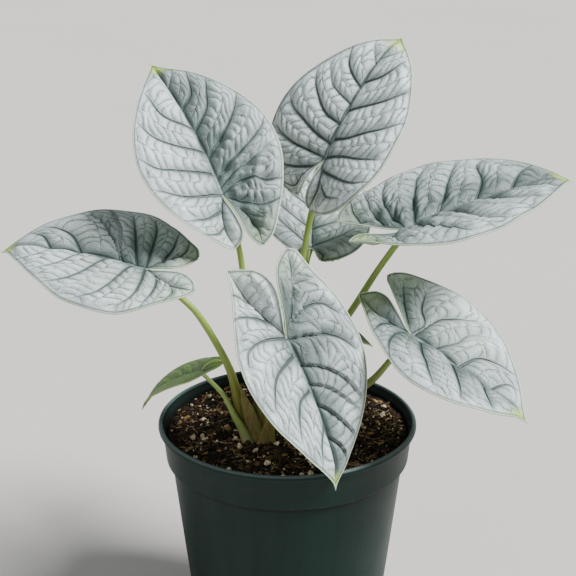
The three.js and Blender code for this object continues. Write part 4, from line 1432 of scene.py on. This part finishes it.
def strew(rng, name, finish, make, size_of, lengths, kinds, jitter, tilt, reach=CHUNK_REACH):
    """Strew a material over the mix. lengths: what each chunk's length is drawn from, by size_of.

    size_of draws a chunk's sizes from the middle out, and says how high the chunk lies.
    """
    templates = [chunk_template(make, finish, jitter, rng) for _ in range(kinds)]
    chunks = []
    for choice in lengths:
        radius = reach * math.sqrt(rng.random())
        turn = rng.uniform(0, 2 * math.pi)
        x, y = radius * math.cos(turn), radius * math.sin(turn)
        sizes, lift = size_of(choice)
        chunk = add_object("chunk", templates[rng.randrange(kinds)])
        chunk.matrix_world = lie(rng, x, y, mix_height(x, y) + lift, sizes, tilt)
        chunks.append(chunk)
    join_chunks(name, finish, chunks)


def crumbs(rng):
    def make(bm):
        bmesh.ops.create_icosphere(bm, subdivisions=1, radius=1)

    def size_of(choice):
        size = rng.choice(choice)
        return [size * rng.uniform(0.7, 1.3) for _ in range(3)], 0.3 * size

    lengths = [CRUMB_SIZES] * CRUMBS
    strew(rng, "soil_crumbs", "crumb", make, size_of, lengths, kinds=8, jitter=0.35, tilt=3)


def bark_chips(rng):
    def make(bm):
        bmesh.ops.create_cube(bm, size=2)
        bmesh.ops.subdivide_edges(bm, edges=bm.edges, cuts=1)
        for vertex in bm.verts:
            vertex.co.x += 0.25 * vertex.co.y * rng.uniform(0.3, 1)
            vertex.co.z *= 1 - 0.4 * abs(vertex.co.x)

    def size_of(choice):
        size = rng.choice(choice)
        return (size, size * rng.uniform(0.3, 0.6), rng.uniform(0.35, 0.7)), 0.9

    lengths = [CHIP_SIZES] * CHIPS
    strew(rng, "bark_chips", "bark", make, size_of, lengths, kinds=6, jitter=0.12, tilt=0.6)


def coir_fibres(rng):
    def make(bm):
        bend, kink = rng.uniform(-0.5, 0.5), rng.uniform(-0.3, 0.3)
        bmesh.ops.create_cone(bm, cap_ends=True, segments=4, radius1=1, radius2=0.5, depth=2)
        bmesh.ops.subdivide_edges(
            bm, edges=[e for e in bm.edges if abs(e.verts[0].co.z - e.verts[1].co.z) > 1], cuts=5
        )
        for vertex in bm.verts:
            z = vertex.co.z
            vertex.co.x, vertex.co.z = z, vertex.co.x
            vertex.co.y += 12 * (bend * z * z + kink * z**3)

    def size_of(choice):
        return (rng.uniform(*choice), FIBRE_RADIUS, FIBRE_RADIUS), 1.2

    lengths = [FIBRE_SIZES] * FIBRES
    strew(
        rng, "coir_fibres", "fibre", make, size_of, lengths, kinds=8, jitter=0, tilt=0.35,
        reach=FIBRE_REACH,
    )


def perlite_grains(rng):
    def make(bm):
        bmesh.ops.create_icosphere(bm, subdivisions=2, radius=1)

    def size_of(choice):
        size = rng.uniform(*choice)
        return [size * rng.uniform(0.75, 1.15) for _ in range(3)], 0.9

    lengths = [LARGE_GRAIN_SIZES] * LARGE_GRAINS + [SMALL_GRAIN_SIZES] * SMALL_GRAINS
    strew(rng, "perlite_grains", "perlite", make, size_of, lengths, kinds=6, jitter=0.38, tilt=3)


# Studio

def aim(holder, place, target):
    holder.location = place
    holder.rotation_euler = (target - holder.location).to_track_quat("-Z", "Y").to_euler()


def studio():
    """Floor, light and camera."""
    bm = bmesh.new()
    bmesh.ops.create_grid(bm, x_segments=2, y_segments=2, size=FLOOR_REACH)
    to_piece(bm, "studio_floor", "floor")

    world = bpy.data.worlds.new("studio_light")
    bpy.context.scene.world = world
    world.use_nodes = True
    background = world.node_tree.nodes["Background"]
    background.inputs["Color"].default_value = SKY_COLOUR
    background.inputs["Strength"].default_value = SKY_STRENGTH
    for name, kind, place, size, power in LIGHTS:
        lamp = bpy.data.lights.new(name, kind)
        lamp.energy = power
        setattr(lamp, "angle" if kind == "SUN" else "size", size)
        aim(add_object(name, lamp), place, LIGHT_AIM)

    lens = bpy.data.cameras.new("camera")
    lens.lens = CAMERA_LENS
    lens.sensor_width = SENSOR_WIDTH
    camera = add_object("camera", lens)
    aim(camera, CAMERA_PLACE, CAMERA_TARGET)
    bpy.context.scene.camera = camera


studio()
pot()
mix_body()
scattering = random.Random(7)
for strewn in (crumbs, bark_chips, coir_fibres, perlite_grains):
    strewn(scattering)
for number, leaf in enumerate(LEAVES):
    blade(leaf, number)
    stalk(leaf, number)
for scale in SCALES:
    papery_scale(scale)
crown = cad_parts["crown"]
crown.data.materials.clear()
crown.data.materials.append(FINISHES["scale"])
